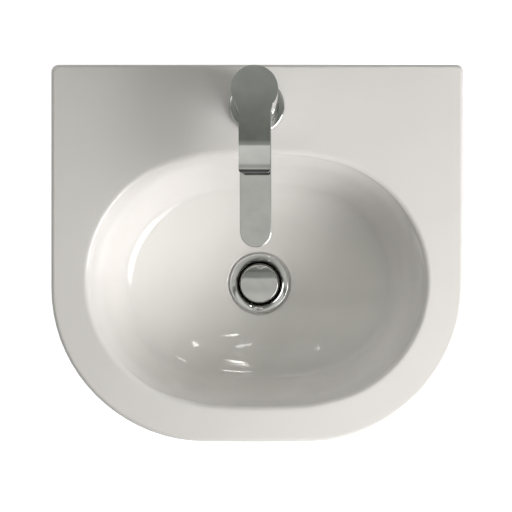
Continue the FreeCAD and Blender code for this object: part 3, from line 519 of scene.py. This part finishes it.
seat_ring = grow(WHITE, bowl_ring, circle_move(WASTE, SEAT + SEAT_EDGE, WASTE.z))
for step in range(1, 6):
    angle = TURN / 4 * step / 5
    radius = SEAT + SEAT_EDGE * (1 - math.sin(angle))
    height = WASTE.z - SEAT_EDGE * (1 - math.cos(angle))
    seat_ring = grow(WHITE, seat_ring, circle_move(WASTE, radius, height))
seat_ring = grow(WHITE, seat_ring, circle_move(WASTE, SEAT, WASTE.z - SEAT_DEPTH))
seat_ring = grow(WHITE, seat_ring, circle_move(WASTE, WASTE_HOLE, WASTE.z - SEAT_DEPTH))
drain_ring = grow(WHITE, seat_ring, circle_move(WASTE, WASTE_HOLE, FOOT))
tap_ring = round_loop(WHITE, TAP_HOLE, TAP, segments=48)
flat_fill(WHITE, (top_ring, rim_ring, tap_ring), (0, 0, 1))
print("with the deck:", len(WHITE.faces))

# %% [markdown]
# ## The ceramic, inside
# The casting is hollow. From below, a wide opening at the back lets a hand reach the tap's nut and
# the wall bolts. The hollow lies between the skin and the underside of the bowl, so it is made
# from the same two outlines, each moved by the thickness of the ceramic.

# %% Hollow
WALL, BACK_PANEL = 9 * MM, 12 * MM
CEILING, FLOOR = RIM - 14 * MM, FOOT + 9 * MM
BOSS, LEDGE = 37.5 * MM, 0.6 * MM
UNDER_SPREAD, UNDER_START = 7.7 * MM, (0.044, 0.99, 0.99, 0.05, 0.0)
SERVICE_HALF, SERVICE_FRONT, SERVICE_CORNER = 98 * MM, -92 * MM, 6 * MM
hollow_ring = rounded_loop(
    WHITE, HALF_WIDTH - WALL, -BACK_PANEL, WALL + BOW - DEPTH, BACK_CORNER, FRONT_CORNER - WALL,
    CEILING, steps=12, spacing=18 * MM,
)
ceiling_ring, wide, deep = hollow_ring, 1.0, 1.0
for fall, width, depth in eased_rows(SKIN_ROWS, 2)[1:]:
    height = CEILING - fall * (CEILING - FLOOR)
    scale_x = (HALF_WIDTH * width - WALL) / (HALF_WIDTH * wide - WALL)
    scale_y = (DEPTH * depth - WALL - BACK_PANEL) / (DEPTH * deep - WALL - BACK_PANEL)
    hollow_ring = grow(
        WHITE, hollow_ring,
        lambda p: Vector((p.x * scale_x, (p.y + BACK_PANEL) * scale_y - BACK_PANEL, height)),
    )
    wide, deep = width, depth

under_ring = oval_loop(WHITE, UNDER_SPREAD, CEILING)
under_top = under_ring
under_rows = eased_rows((UNDER_START,) + BOWL_ROWS[1:], 3)
for last, row in zip(under_rows, under_rows[1:]):
    height = RIM - row[0] * BOWL_DEPTH - WALL
    under_ring = grow(WHITE, under_ring, oval_move(row, last, height, WALL))
under_ring = grow(WHITE, under_ring, circle_move(WASTE, BOSS, WASTE.z - WALL))
boss_ring = grow(WHITE, under_ring, circle_move(WASTE, BOSS, FLOOR))
tap_under = grow(WHITE, tap_ring, lambda p: Vector((p.x, p.y, CEILING)))
flat_fill(WHITE, (ceiling_ring, under_top, tap_under), (0, 0, -1))

service_ring = rounded_loop(
    WHITE, SERVICE_HALF, -BACK_PANEL - LEDGE, SERVICE_FRONT, SERVICE_CORNER, SERVICE_CORNER,
    FOOT, steps=5, spacing=16 * MM,
)
service_top = grow(WHITE, service_ring, lambda p: Vector((p.x, p.y, FLOOR)))
flat_fill(WHITE, (foot_ring, drain_ring, service_ring), (0, 0, -1))
flat_fill(WHITE, (hollow_ring, boss_ring, service_top), (0, 0, 1))
print("with the hollow:", len(WHITE.faces))

# %% [markdown]
# ## Bolt holes
# Two bolts hold the basin on the wall. Their holes go through the flat back panel, so the panel's
# two faces are taken out and filled again round the holes, and each pair of circles is bridged.
# A boolean could drill them too, but it would leave hard edges, and here each mouth gets a round.

# %% Bolt holes
BOLTS = (Vector((-90 * MM, 0, 0)), Vector((90 * MM, 0, 0)))
BOLT_HOLE, HOLE_EDGE = 7 * MM, 0.8 * MM
UPRIGHT = Matrix.Rotation(TURN / 4, 4, "X")


def upright_move(centre, radius, depth):
    """Moves a ring that stands upright to a radius and a depth."""
    def move(point):
        share = radius / math.hypot(point.x - centre.x, point.z - centre.z)
        x = centre.x + (point.x - centre.x) * share
        return Vector((x, depth, centre.z + (point.z - centre.z) * share))
    return move


def panel_border(bm, depth):
    """Takes out the faces in a plane y = depth and gives back their border."""
    flat = [f for f in bm.faces if all(abs(v.co.y - depth) < 0.002 * MM for v in f.verts)]
    flat = [f for f in flat if abs(f.normal.y) > 0.9]
    inside = set(flat)
    edges = dict.fromkeys(e for f in flat for e in f.edges)
    border = [e for e in edges if any(f not in inside for f in e.link_faces)]
    bmesh.ops.delete(bm, geom=flat, context="FACES")
    return [e for e in border if e.is_valid]


WHITE.normal_update()
panel_loops = [[], []]
for bolt in BOLTS:
    mouths = []
    for side, depth in enumerate((0.0, -BACK_PANEL)):
        before = set(WHITE.edges)
        place = Matrix.Translation((bolt.x, depth, bolt.z)) @ UPRIGHT
        bmesh.ops.create_circle(WHITE, segments=40, radius=BOLT_HOLE + HOLE_EDGE, matrix=place)
        mouth = new_edges(WHITE, before)
        panel_loops[side] += mouth
        inward = -1 if side == 0 else 1
        for step in range(1, 4):
            angle = TURN / 4 * step / 3
            radius = BOLT_HOLE + HOLE_EDGE * (1 - math.sin(angle))
            level = depth + inward * HOLE_EDGE * (1 - math.cos(angle))
            mouth = grow(WHITE, mouth, upright_move(bolt, radius, level))
        mouths += mouth
    bmesh.ops.bridge_loops(WHITE, edges=mouths)
for side, depth in enumerate((0.0, -BACK_PANEL)):
    border = panel_border(WHITE, depth)
    flat_fill(WHITE, (border, panel_loops[side]), (0, 1 - 2 * side, 0))
print("with the bolt holes:", len(WHITE.faces))

# %% [markdown]
# ## Overflow
# If the plug is down and the tap runs, the water leaves through a hole in the bowl's back wall, under
# the tap, and through a duct that the casting forms between the bowl and its hollow. The hole meets
# a curved wall, where no flat face helps. There a boolean is the right tool, first to add the
# block of the duct behind the bowl and then to drill the hole.

# %% Overflow duct and hole
DUCT_BACK = ((-82, 50), (-76, 37), (-74.4, 19.4), (-80.9, -3.4), (-90.1, -18.2), (-103.7, -28.5))
DUCT_FRONT = (
    (-103.7, -90), (-160, -90), (-160, -46.5), (-145, -41), (-131, -34.5), (-119, -29), (-110.5, -22),
    (-101, -5), (-92.5, 20), (-87, 40),
)
DUCT_HALF = 26 * MM
DRILL_PLACE, DRILL_RADIUS, DRILL_LENGTH = Vector((0, -106 * MM, 19.4 * MM)), 9 * MM, 45 * MM
duct = bmesh.new()
duct.faces.new([duct.verts.new((-DUCT_HALF, y * MM, z * MM)) for y, z in DUCT_BACK + DUCT_FRONT])
made = bmesh.ops.extrude_face_region(duct, geom=duct.faces[:])["geom"]
bmesh.ops.translate(duct, vec=(2 * DUCT_HALF, 0, 0), verts=points_of(made))
bmesh.ops.recalc_face_normals(duct, faces=duct.faces[:])
soften(duct, 3.0, 3)
drill = bmesh.new()
bmesh.ops.create_cone(
    drill, cap_ends=True, segments=48, radius1=DRILL_RADIUS, radius2=DRILL_RADIUS, depth=DRILL_LENGTH,
    matrix=Matrix.Translation(DRILL_PLACE) @ UPRIGHT,
)
WHITE = joined(WHITE, duct, "UNION")
WHITE = joined(WHITE, drill, "DIFFERENCE")
add_piece(WHITE, "basin_casting", "basin", "glazed_ceramic", ["basin"])

# %% [markdown]
# ## The tap's body
# On the real tap the barrel and the spout are one brass casting, ground smooth and plated.
# The barrel is turned. The spout is a flat bar with a half-round end: one half of its plan is drawn
# with a few points and two spun arcs, mirrored, filled and extruded. Two cuts across it give the
# places where its underside bends. A boolean joins the two, since the casting is one piece,
# and a concave flare in the plan stands for the cast fillet at the root.

# %% Barrel and spout
TAP_AXIS = Vector((0, TAP_Y * MM, 0))
BARREL = ((0, 160), (20.5, 160), (20.5, 68.5), (17, 68.5), (17, 59), (0, 59))
SPOUT_TOP, SPOUT_SLOPE = 141 * MM, math.tan(math.radians(3))
SPOUT_UNDER, UNDER_RISE = 109, 13
BEND_NEAR, BEND_FAR = -61.5 * MM, -145.3 * MM
SPOUT_HALF, OUTLET_Y = 14.35, -163.65


def corner(bm, x, y):
    return bm.verts.new((x * MM, y * MM, 0))


def arc_on(bm, start, centre, degrees, steps):
    """Spins a point about an upright axis and gives back the end of its arc."""
    made = bmesh.ops.spin(
        bm, geom=[start], cent=Vector((*centre, 0)) * MM, axis=(0, 0, 1),
        angle=math.radians(degrees), steps=steps,
    )
    return points_of(made["geom_last"])[0]


def bar_from_half(bm, rows, top, under):
    """Mirrors half a plan, fills and extrudes it, cuts it across and sets its two heights."""
    half = bm.verts[:] + bm.edges[:]
    bmesh.ops.mirror(bm, geom=half, matrix=Matrix(), merge_dist=0.01 * MM, axis="X")
    bmesh.ops.edgeloop_fill(bm, edges=bm.edges[:])
    made = bmesh.ops.extrude_face_region(bm, geom=bm.faces[:])["geom"]
    bmesh.ops.translate(bm, vec=(0, 0, 1), verts=points_of(made))
    for y in rows:
        whole = bm.verts[:] + bm.edges[:] + bm.faces[:]
        bmesh.ops.bisect_plane(bm, geom=whole, plane_co=(0, y, 0), plane_no=(0, 1, 0))
    for point in bm.verts:
        point.co.z = top(point.co.y) if point.co.z > 0.5 else under(point.co.y)
    bmesh.ops.recalc_face_normals(bm, faces=bm.faces[:])


def spout_top(y):
    return SPOUT_TOP + (y - TAP_AXIS.y) * SPOUT_SLOPE


def spout_under(y):
    share = (y - BEND_NEAR) / (BEND_FAR - BEND_NEAR)
    return (SPOUT_UNDER + UNDER_RISE * min(max(share, 0.0), 1.0)) * MM


barrel = bmesh.new()
lathe(barrel, TAP_AXIS, BARREL, 128)
soften(barrel, 0.5, 2, lambda p: p.z > 159.5 * MM and (p - TAP_AXIS).xy.length > 20 * MM)
spout = bmesh.new()
root = corner(spout, 0, TAP_Y)
touch = corner(spout, 16.1, -52.86)
end = corner(spout, SPOUT_HALF, OUTLET_Y)
spout.edges.new((root, touch))
spout.edges.new((arc_on(spout, touch, (23.35, -58.2), 36.4, 7), end))
arc_on(spout, end, (0, OUTLET_Y), -90, 20)
bar_from_half(spout, (BEND_NEAR, BEND_FAR), spout_top, spout_under)
soften(spout, 2.5, 6, lambda p: p.y < -50 * MM, 45.0)
tap = joined(barrel, spout, "UNION")
print("barrel and spout faces:", len(tap.faces))

# %% [markdown]
# ## Bores of the tap
# The casting is drilled where the works go in: a chamber for the cartridge with a wider seat for its
# nut, a hole for the aerator under the spout's end, and two inlets from below for the hoses.
# They are round and upright, as a drill leaves them, so each is one boolean with a cylinder.

# %% Bores
CHAMBER, NUT_SEAT, OUTLET, INLET = 17.6, 18.95, 11.1, 4.5
INLET_SIDE, INLET_Y = 6.5, -42


def bored(bm, centre, radius, low, high):
    """Drills an upright hole into a closed mesh."""
    tool = bmesh.new()
    bmesh.ops.create_cone(
        tool, cap_ends=True, segments=48, radius1=radius * MM, radius2=radius * MM,
        depth=(high - low) * MM,
        matrix=Matrix.Translation((centre[0] * MM, centre[1] * MM, (low + high) / 2 * MM)),
    )
    return joined(bm, tool, "DIFFERENCE")


tap = bored(tap, (0, TAP_Y), CHAMBER, low=125, high=162)
tap = bored(tap, (0, TAP_Y), NUT_SEAT, low=150, high=163)
tap = bored(tap, (0, OUTLET_Y), OUTLET, low=110, high=130.5)
for side in (-INLET_SIDE, INLET_SIDE):
    tap = bored(tap, (side, INLET_Y), INLET, low=50, high=81)
add_piece(tap, "tap_casting", "basin", "polished_chrome", ["tap_body"], even=True)

# %% [markdown]
# ## The lever
# The lever is cast and plated too: a round head, a tongue with a concave neck, and an end that turns
# up so that a finger can lift it. The plan is again half drawn and mirrored. Rows of cuts near the end
# let it bend along an arc, and the last rows give it a slanted nose. The head hangs lower than the
# tongue, so it is turned on its own and joined. A ball about the tilt axis is then cut out of it,
# which leaves room for the dome below at every angle of the lever.

# %% Lever
LEVER_TOP, LEVER_UNDER, UNDER_SLOPE = 178 * MM, 170 * MM, 0.1
FLICK_START, FLICK_RADIUS, FLICK_STEP = -85 * MM, 115 * MM, 2.56
NOSE_START, NOSE_EASE, NOSE_SLOPE = -110.6 * MM, 0.6 * MM, 0.9
TIP_SIDE, TIP_START, TIP_RADIUS, TIP_END = 13.65, -111, 3, -114
SKIRT = ((0, 172), (20.48, 172), (20.48, 162.5), (0, 162.5))
PIVOT, BALL = Vector((0, TAP_Y * MM, 152 * MM)), 22.5 * MM
LEVER_ROWS = [FLICK_START - FLICK_STEP * n * MM for n in range(10)]
LEVER_ROWS += [NOSE_START - run * MM for run in (0, 0.3, 0.6, 1.0, 1.6, 2.4)]


def lever_rise(y):
    run = max(0.0, FLICK_START - y)
    return FLICK_RADIUS - math.sqrt(FLICK_RADIUS**2 - run**2)


def lever_top(y):
    run = max(0.0, NOSE_START - y)
    return LEVER_TOP + lever_rise(y) - NOSE_SLOPE * (math.hypot(run, NOSE_EASE) - NOSE_EASE)


def lever_under(y):
    return LEVER_UNDER + lever_rise(y) + UNDER_SLOPE * max(0.0, FLICK_START - y)


handle = bmesh.new()
neck = arc_on(handle, corner(handle, 0, -20.5), (0, TAP_Y), -123, 44)
side_start = arc_on(handle, neck, (35.65, -64.14), 33, 12)
side_end = corner(handle, TIP_SIDE, TIP_START)
handle.edges.new((side_start, side_end))
tip = arc_on(handle, side_end, (TIP_SIDE - TIP_RADIUS, TIP_START), -90, 6)
handle.edges.new((tip, corner(handle, 0, TIP_END)))
bar_from_half(handle, LEVER_ROWS, lever_top, lever_under)
soften(handle, 1.2, 4, lambda p: p.z > 177 * MM or p.y < -62 * MM, 45.0)
skirt = bmesh.new()
lathe(skirt, TAP_AXIS, SKIRT, 128)
soften(skirt, 0.3, 2, lambda p: p.z < 162.6 * MM)
handle = joined(handle, skirt, "UNION")
ball = bmesh.new()
bmesh.ops.create_uvsphere(
    ball, u_segments=96, v_segments=48, radius=BALL, matrix=Matrix.Translation(PIVOT)
)
handle = joined(handle, ball, "DIFFERENCE")
add_piece(handle, "lever_handle", "lever", "polished_chrome", ["lever"], even=True)

# %% [markdown]
# ## The trim ring
# The ring round the tap's foot is turned. The lathe helper draws it, and its edges are rounded by the
# amount that a polisher leaves: more on the open rim, next to nothing where two pieces meet.

# %% Trim ring
RING_OUTLINE = ((17.15, 66.5), (26.5, 66.5), (26.5, 71), (20.65, 71), (20.65, 68.5), (17.15, 68.5))
ring = bmesh.new()
lathe(ring, TAP_AXIS, RING_OUTLINE, 128)
soften(ring, 1.5, 5, lambda p: p.z > 70.9 * MM and (p - TAP_AXIS).xy.length > 26 * MM)
soften(ring, 0.25, 2)
add_piece(ring, "trim_ring", "basin", "polished_chrome", ["base_ring"], even=True)

# %% [markdown]
# ## The waste
# The waste is turned as well, with a dished flange that leads into a conical throat, where the seal of
# the cap sits. Two slots in its side take the water of the overflow, a hub on three arms
# holds the push mechanism, and the lower end has a thread for the trap. The slots are cut with
# a boolean. The thread's ridge, the hub and the arms are closed forms that lie in the same mesh.

# %% Waste with its thread
WASTE_AXIS = Vector((0, WASTE_Y * MM, 0))
WASTE_OUTLINE = (
    (18, -134), (19.3, -134), (19.3, -113.6), (20.95, -113), (20.95, -50), (31.9, -50), (31.9, -49),
    (30.2, -47.4), (28.6, -47.75), (26.8, -48.25), (25.3, -48.75), (24.2, -49.25), (23.3, -50.0),
    (18, -57),
)
HUB = ((4, -91), (7, -91), (7, -83), (4, -83))
SLOT_SIZE, SLOT_OFFSET, SLOT_HEIGHT = (18 * MM, 17 * MM, 16 * MM), 17.5, -71
ARM_SIZE, ARM_PLACE, ARMS = (13 * MM, 5 * MM, 8 * MM), (12.5 * MM, 0, -87 * MM), 3
drain = bmesh.new()
lathe(drain, WASTE_AXIS, WASTE_OUTLINE, 128)
soften(drain, 0.5, 3, lambda p: p.z > -49.9 * MM, 22.0)
for side in (-SLOT_OFFSET, SLOT_OFFSET):
    slot_cut = bmesh.new()
    bmesh.ops.create_cube(slot_cut, size=1.0)
    bmesh.ops.scale(slot_cut, vec=SLOT_SIZE, verts=slot_cut.verts[:])
    place = (0, (WASTE_Y + side) * MM, SLOT_HEIGHT * MM)
    bmesh.ops.translate(slot_cut, vec=place, verts=slot_cut.verts[:])
    drain = joined(drain, slot_cut, "DIFFERENCE")
thread(drain, WASTE_AXIS, core=19.25, crest=20.2, low=-133.6, high=-113.8, pitch=2.309, steps=48)
lathe(drain, WASTE_AXIS, HUB, 48)
for arm in range(ARMS):
    turned = Matrix.Rotation(TURN * arm / ARMS, 3, "Z")
    made = bmesh.ops.create_cube(drain, size=1.0)["verts"]
    bmesh.ops.scale(drain, vec=ARM_SIZE, verts=made)
    bmesh.ops.translate(drain, vec=ARM_PLACE, verts=made)
    bmesh.ops.rotate(drain, cent=(0, 0, 0), matrix=turned, verts=made)
    bmesh.ops.translate(drain, vec=WASTE_AXIS, verts=made)
add_piece(drain, "waste_fitting", "basin", "polished_chrome", ["waste_body"], even=True)

# %% [markdown]
# ## The push cap
# The cap is a turned disc with a crown that is nearly flat, so it is a slightly convex mirror. The
# rings of the crown lie on a sphere with a large radius. A hollow boss underneath takes the plunger.

# %% Push cap
CROWN, CROWN_TOP = 220, -39.2
CROWN_RINGS = (0, 3, 6, 9, 12, 15, 17.5, 20)
CAP_UNDERSIDE = [(20, -45), (6, -45), (6, -49), (3, -49), (3, -44), (0, -44)]
cap = bmesh.new()
crown = [(r, CROWN_TOP - CROWN + math.sqrt(CROWN**2 - r**2)) for r in CROWN_RINGS]
lathe(cap, WASTE_AXIS, crown + CAP_UNDERSIDE, 128)
soften(cap, 0.7, 4, lambda p: (p - WASTE_AXIS).xy.length > 19 * MM)
add_piece(cap, "push_cap", "plug", "polished_chrome", ["plug_cap"], even=True)

# %% [markdown]
# ## The spring under the cap
# Inside the push mechanism a round-wire spring lifts the cap, and it gets shorter as the cap is pressed.
# Here it is drawn at one length: a cross-section of the wire is spun and lifted, as a spring winder does.

# %% Spring of the push cap
COIL_RADIUS, WIRE_RADIUS = 4.3, 0.4
SPRING_LOW, SPRING_PITCH, SPRING_TURNS, SPRING_STEPS = -80.3, 3.2, 4, 40
spring = bmesh.new()
bmesh.ops.create_circle(
    spring, cap_ends=True, segments=12, radius=WIRE_RADIUS * MM,
    matrix=Matrix.Translation(WASTE_AXIS + Vector((COIL_RADIUS, 0, SPRING_LOW)) * MM) @ UPRIGHT,
)
bmesh.ops.spin(
    spring, geom=spring.faces[:], cent=WASTE_AXIS, axis=(0, 0, 1), angle=TURN * SPRING_TURNS,
    steps=SPRING_STEPS * SPRING_TURNS, dvec=(0, 0, SPRING_PITCH * MM / SPRING_STEPS),
    use_duplicate=False,
)
coil = add_piece(spring, "push_spring", "basin", SLOTS["clicker_spring"], ["clicker_spring"])
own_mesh(coil)

# %% [markdown]
# ## Nuts and studs
# From below one sees how the fittings are held. A nut is a hexagonal bar whose corners were turned
# off, so it is the common part of a hexagon and a turned blank, drilled through.
# A stud is a turned core with a helical ridge: one tooth, spun and lifted at the same time.

# %% Nuts
STUD_AXIS = Vector((0, -29 * MM, 0))


def hexagon_nut(centre, flats, bore, low, high):
    """The common part of a hexagonal bar and a turned blank, drilled through."""
    size = flats / 2 / math.cos(TURN / 12)
    face, edge, fall = flats / 2 - 0.3, size + 0.2, 0.12 * flats / 2
    blank = bmesh.new()
    lathe(
        blank, centre,
        ((0, low), (face, low), (edge, low + fall), (edge, high - fall), (face, high), (0, high)), 96,
    )
    middle = Matrix.Translation((centre.x, centre.y, (low + high) / 2 * MM))
    bar = bmesh.new()
    bmesh.ops.create_cone(
        bar, cap_ends=True, segments=6, radius1=size * MM, radius2=size * MM,
        depth=(high - low + 4) * MM, matrix=middle @ Matrix.Rotation(TURN / 4, 4, "Z"),
    )
    nut = joined(bar, blank, "INTERSECT")
    return bored(nut, (centre.x / MM, centre.y / MM), bore, low - 2, high + 2)


back_nut = hexagon_nut(WASTE_AXIS, flats=55, bore=21, low=-112, high=-103)
add_piece(back_nut, "waste_nut", "basin", SLOTS["waste_backnut"], ["waste_backnut"], even=True)
stud_nut = hexagon_nut(STUD_AXIS, flats=13, bore=4, low=37.5, high=45.5)
add_piece(stud_nut, "clamp_nut", "basin", SLOTS["fixing_nut"], ["fixing_nut"], even=True)

# %% Stud
stud = bmesh.new()
lathe(stud, STUD_AXIS, ((0, 11), (2.9, 11), (3.45, 11.6), (3.45, 79), (0, 79)), 48)
thread(stud, STUD_AXIS, core=3.4, crest=4.0, low=11.6, high=58.0, pitch=1.25, steps=28)
add_piece(stud, "clamp_stud", "basin", SLOTS["fixing_stud"], ["fixing_stud"])

# %% [markdown]
# ## Dressing the other parts
# What the CAD model already draws exactly keeps its own mesh: the screws, seals and the works of
# the tap. Each gets the finish of its own slot in the record.

# %% Finishes for the CAD nodes
for name, slot in SLOTS.items():
    mesh = frame["nodes"][name].data
    mesh.materials.clear()
    mesh.materials.append(FINISHES[slot])
print("dressed nodes:", len(SLOTS))

# %% [markdown]
# ## Floor
# The background of the photograph is plain white. The floor is a large pale sheet below the waste.
# Where the camera or a mirror sees it, it also glows, so it reads as white. Diffuse light doesn't
# meet that glow, so it doesn't brighten the ceramic from below. Seen from underneath the sheet is
# clear, so that a camera under the floor sees the underside of the basin.

# %% Floor
FLOOR_LEVEL, FLOOR_SIZE, FLOOR_GLOW = -136 * MM, 30.0, 0.92
sheet_bm = bmesh.new()
bmesh.ops.create_grid(sheet_bm, x_segments=1, y_segments=1, size=FLOOR_SIZE)
bmesh.ops.translate(sheet_bm, vec=(0, 0, FLOOR_LEVEL), verts=sheet_bm.verts[:])
sheet_mesh = bpy.data.meshes.new("studio_floor")
sheet_bm.to_mesh(sheet_mesh)
sheet_bm.free()
floor = bpy.data.objects.new("studio_floor", sheet_mesh)
bpy.context.scene.collection.objects.link(floor)
print("floor at", round(FLOOR_LEVEL, 3), "m")

# %% Paper of the floor
def math_node(nodes, operation):
    node = nodes.new("ShaderNodeMath")
    node.operation = operation
    return node


paper = bpy.data.materials.new("studio_paper")
paper.use_nodes = True
nodes, links = paper.node_tree.nodes, paper.node_tree.links
shader = nodes["Principled BSDF"]
shader.inputs["Base Color"].default_value = (0.30, 0.30, 0.30, 1)
shader.inputs["Roughness"].default_value = 0.9
seen = nodes.new("ShaderNodeLightPath")
first = math_node(nodes, "MAXIMUM")
second = math_node(nodes, "MAXIMUM")
glow = math_node(nodes, "MULTIPLY")
glow.inputs[1].default_value = FLOOR_GLOW
links.new(seen.outputs["Is Camera Ray"], first.inputs[0])
links.new(seen.outputs["Is Glossy Ray"], first.inputs[1])
links.new(first.outputs[0], second.inputs[0])
links.new(seen.outputs["Is Transmission Ray"], second.inputs[1])
links.new(second.outputs[0], glow.inputs[0])
shader.inputs["Emission Color"].default_value = (1, 1, 1, 1)
links.new(glow.outputs[0], shader.inputs["Emission Strength"])
side = nodes.new("ShaderNodeNewGeometry")
clear = nodes.new("ShaderNodeBsdfTransparent")
one_way = nodes.new("ShaderNodeMixShader")
links.new(side.outputs["Backfacing"], one_way.inputs["Fac"])
links.new(shader.outputs[0], one_way.inputs[1])
links.new(clear.outputs[0], one_way.inputs[2])
links.new(one_way.outputs[0], nodes["Material Output"].inputs["Surface"])
floor.data.materials.append(paper)
print("floor material:", paper.name)

# %% [markdown]
# ## Lamps
# The tap's shadow falls to the left, so the main light comes from a window at the right, in front.
# Two area lamps stand for it: a near one for the shadow, and a larger one farther off for the soft
# fall of light on the ceramic. A third one shows only as a streak in mirrors and glaze, because it
# gives no diffuse light. A fill from behind keeps the shaded side from turning dark, and two small
# spots give the glints at the front of the bowl.

# %% Lamps
DAYLIGHT, LAMPLIGHT, PLAIN = (1.0, 0.975, 0.965), (1.0, 0.97, 0.92), (1.0, 1.0, 1.0)
BOWL_AIM, FILL_AIM, FRONT_AIM = (0.0, -0.17, 0.02), (0.0, -0.17, 0.0), (0.0, -0.3, 0.0)
# Each row: name, place, aim, size, power and colour.
LAMPS = (
    ("window_lamp", (0.84, -0.69, 0.62), BOWL_AIM, (0.8, 0.34), 8.0, DAYLIGHT),
    ("window_wall", (1.22, -1.13, 0.80), BOWL_AIM, (1.7, 1.3), 17.4, DAYLIGHT),
    ("window_pane", (0.83, -0.68, 1.0), BOWL_AIM, (1.0, 0.22), 5.0, DAYLIGHT),
    ("back_fill", (-1.25, 1.05, 0.45), FILL_AIM, (1.5, 0.8), 6.5, PLAIN),
    ("ceiling_spot", (0.0, 0.58, 1.06), FRONT_AIM, (0.03, 0.04), 0.12, LAMPLIGHT),
    ("side_spot", (0.275, 0.53, 1.05), FRONT_AIM, (0.07, 0.10), 0.3, LAMPLIGHT),
)


def soft_lamp(name, place, aim, size, power, colour):
    lamp = bpy.data.lights.new(name, "AREA")
    lamp.shape = "RECTANGLE"
    lamp.size, lamp.size_y = size
    lamp.energy = power
    lamp.color = colour
    holder = bpy.data.objects.new(name, lamp)
    holder.location = place
    holder.rotation_euler = (Vector(aim) - Vector(place)).to_track_quat("-Z", "Y").to_euler()
    bpy.context.scene.collection.objects.link(holder)
    return holder


lamps = {row[0]: soft_lamp(*row) for row in LAMPS}
lamps["window_pane"].visible_diffuse = False
print("lamps:", sorted(lamps))

# %% [markdown]
# ## The room in the mirrors
# Chrome shows only what is round it. The room is a strip of tones that runs from the front over
# the ceiling to the back. Part of the ceiling behind the tap is darker, as a beam would make it:
# the flat top of the lever mirrors it and turns dark, while the turned-up end looks past it and
# stays light. Near the horizon the tones get dimmer.

# %% Room
ROOM_STOPS = (
    (0.00, (0.05, 0.05, 0.045)), (0.10, (0.16, 0.16, 0.145)), (0.25, (0.46, 0.455, 0.415)),
    (0.42, (0.58, 0.575, 0.53)), (0.458, (0.50, 0.495, 0.455)), (0.514, (0.55, 0.545, 0.50)),
    (0.519, (0.26, 0.27, 0.24)), (0.546, (0.25, 0.26, 0.23)), (0.5525, (0.13, 0.14, 0.12)),
    (0.560, (0.17, 0.18, 0.155)), (0.58, (0.28, 0.29, 0.26)),
    (0.5925, (0.27, 0.28, 0.25)), (0.60, (0.70, 0.695, 0.645)), (0.74, (0.62, 0.615, 0.57)),
    (0.775, (0.24, 0.24, 0.22)), (1.00, (0.14, 0.14, 0.13)),
)


def fill_ramp(ramp, stops):
    """Gives a new ramp its stops: the ones between its two ends first, then the ends."""
    for place, colour in stops[1:-1]:
        ramp.elements.new(place).color = (*colour, 1)
    for end in (0, -1):
        ramp.elements[end].position = stops[end][0]
        ramp.elements[end].color = (*stops[end][1], 1)


world = bpy.data.worlds.new("studio_room")
bpy.context.scene.world = world
world.use_nodes = True
nodes, links = world.node_tree.nodes, world.node_tree.links
way = nodes.new("ShaderNodeTexCoord")
split = nodes.new("ShaderNodeSeparateXYZ")
lean = math_node(nodes, "DIVIDE")
spread = nodes.new("ShaderNodeMapRange")
spread.inputs["From Min"].default_value = -1.0
strip = nodes.new("ShaderNodeValToRGB")
fill_ramp(strip.color_ramp, ROOM_STOPS)
height = nodes.new("ShaderNodeMapRange")
height.inputs["From Min"].default_value = 0.35
height.inputs["From Max"].default_value = 0.92
height.inputs["To Min"].default_value = 0.18
dim = nodes.new("ShaderNodeVectorMath")
dim.operation = "SCALE"
links.new(way.outputs["Generated"], split.inputs["Vector"])
links.new(split.outputs["Y"], lean.inputs[0])
links.new(split.outputs["Z"], lean.inputs[1])
links.new(lean.outputs[0], spread.inputs["Value"])
links.new(spread.outputs["Result"], strip.inputs["Fac"])
links.new(split.outputs["Z"], height.inputs["Value"])
links.new(strip.outputs["Color"], dim.inputs[0])
links.new(height.outputs["Result"], dim.inputs["Scale"])
print("room with", len(ROOM_STOPS), "stops")

# %% [markdown]
# ## The low light, and the white backdrop
# Mirrors that look sideways see a bright band at the horizon and a fainter one higher up, as pale
# walls would make them. Diffuse surfaces don't get their light, so the shading of the ceramic stays
# with the lamps and the strip. The camera itself sees plain white instead of the room.

# %% Low light and backdrop
HORIZON_STOPS = ((0.02, 1.0), (0.06, 0.10), (0.16, 0.03), (0.32, 0.30), (0.62, 0.0))
low = nodes.new("ShaderNodeValToRGB")
fill_ramp(low.color_ramp, [(place, (share, share, share)) for place, share in HORIZON_STOPS])
rays = nodes.new("ShaderNodeLightPath")
mirrored = math_node(nodes, "MAXIMUM")
pale = math_node(nodes, "MULTIPLY")
horizon = nodes.new("ShaderNodeMix")
horizon.data_type = "RGBA"
horizon.inputs["B"].default_value = (0.8, 0.8, 0.79, 1)
backdrop = nodes.new("ShaderNodeBackground")
backdrop.inputs["Color"].default_value = (1, 1, 1, 1)
choice = nodes.new("ShaderNodeMixShader")
links.new(split.outputs["Z"], low.inputs["Fac"])
links.new(rays.outputs["Is Glossy Ray"], mirrored.inputs[0])
links.new(rays.outputs["Is Transmission Ray"], mirrored.inputs[1])
links.new(mirrored.outputs[0], pale.inputs[0])
links.new(low.outputs["Color"], pale.inputs[1])
links.new(pale.outputs[0], horizon.inputs["Factor"])
links.new(dim.outputs["Vector"], horizon.inputs["A"])
links.new(horizon.outputs["Result"], nodes["Background"].inputs["Color"])
links.new(rays.outputs["Is Camera Ray"], choice.inputs["Fac"])
links.new(nodes["Background"].outputs[0], choice.inputs[1])
links.new(backdrop.outputs[0], choice.inputs[2])
links.new(choice.outputs[0], nodes["World Output"].inputs["Surface"])
bpy.context.scene.view_settings.view_transform = "Standard"
print("low light with", len(HORIZON_STOPS), "stops")
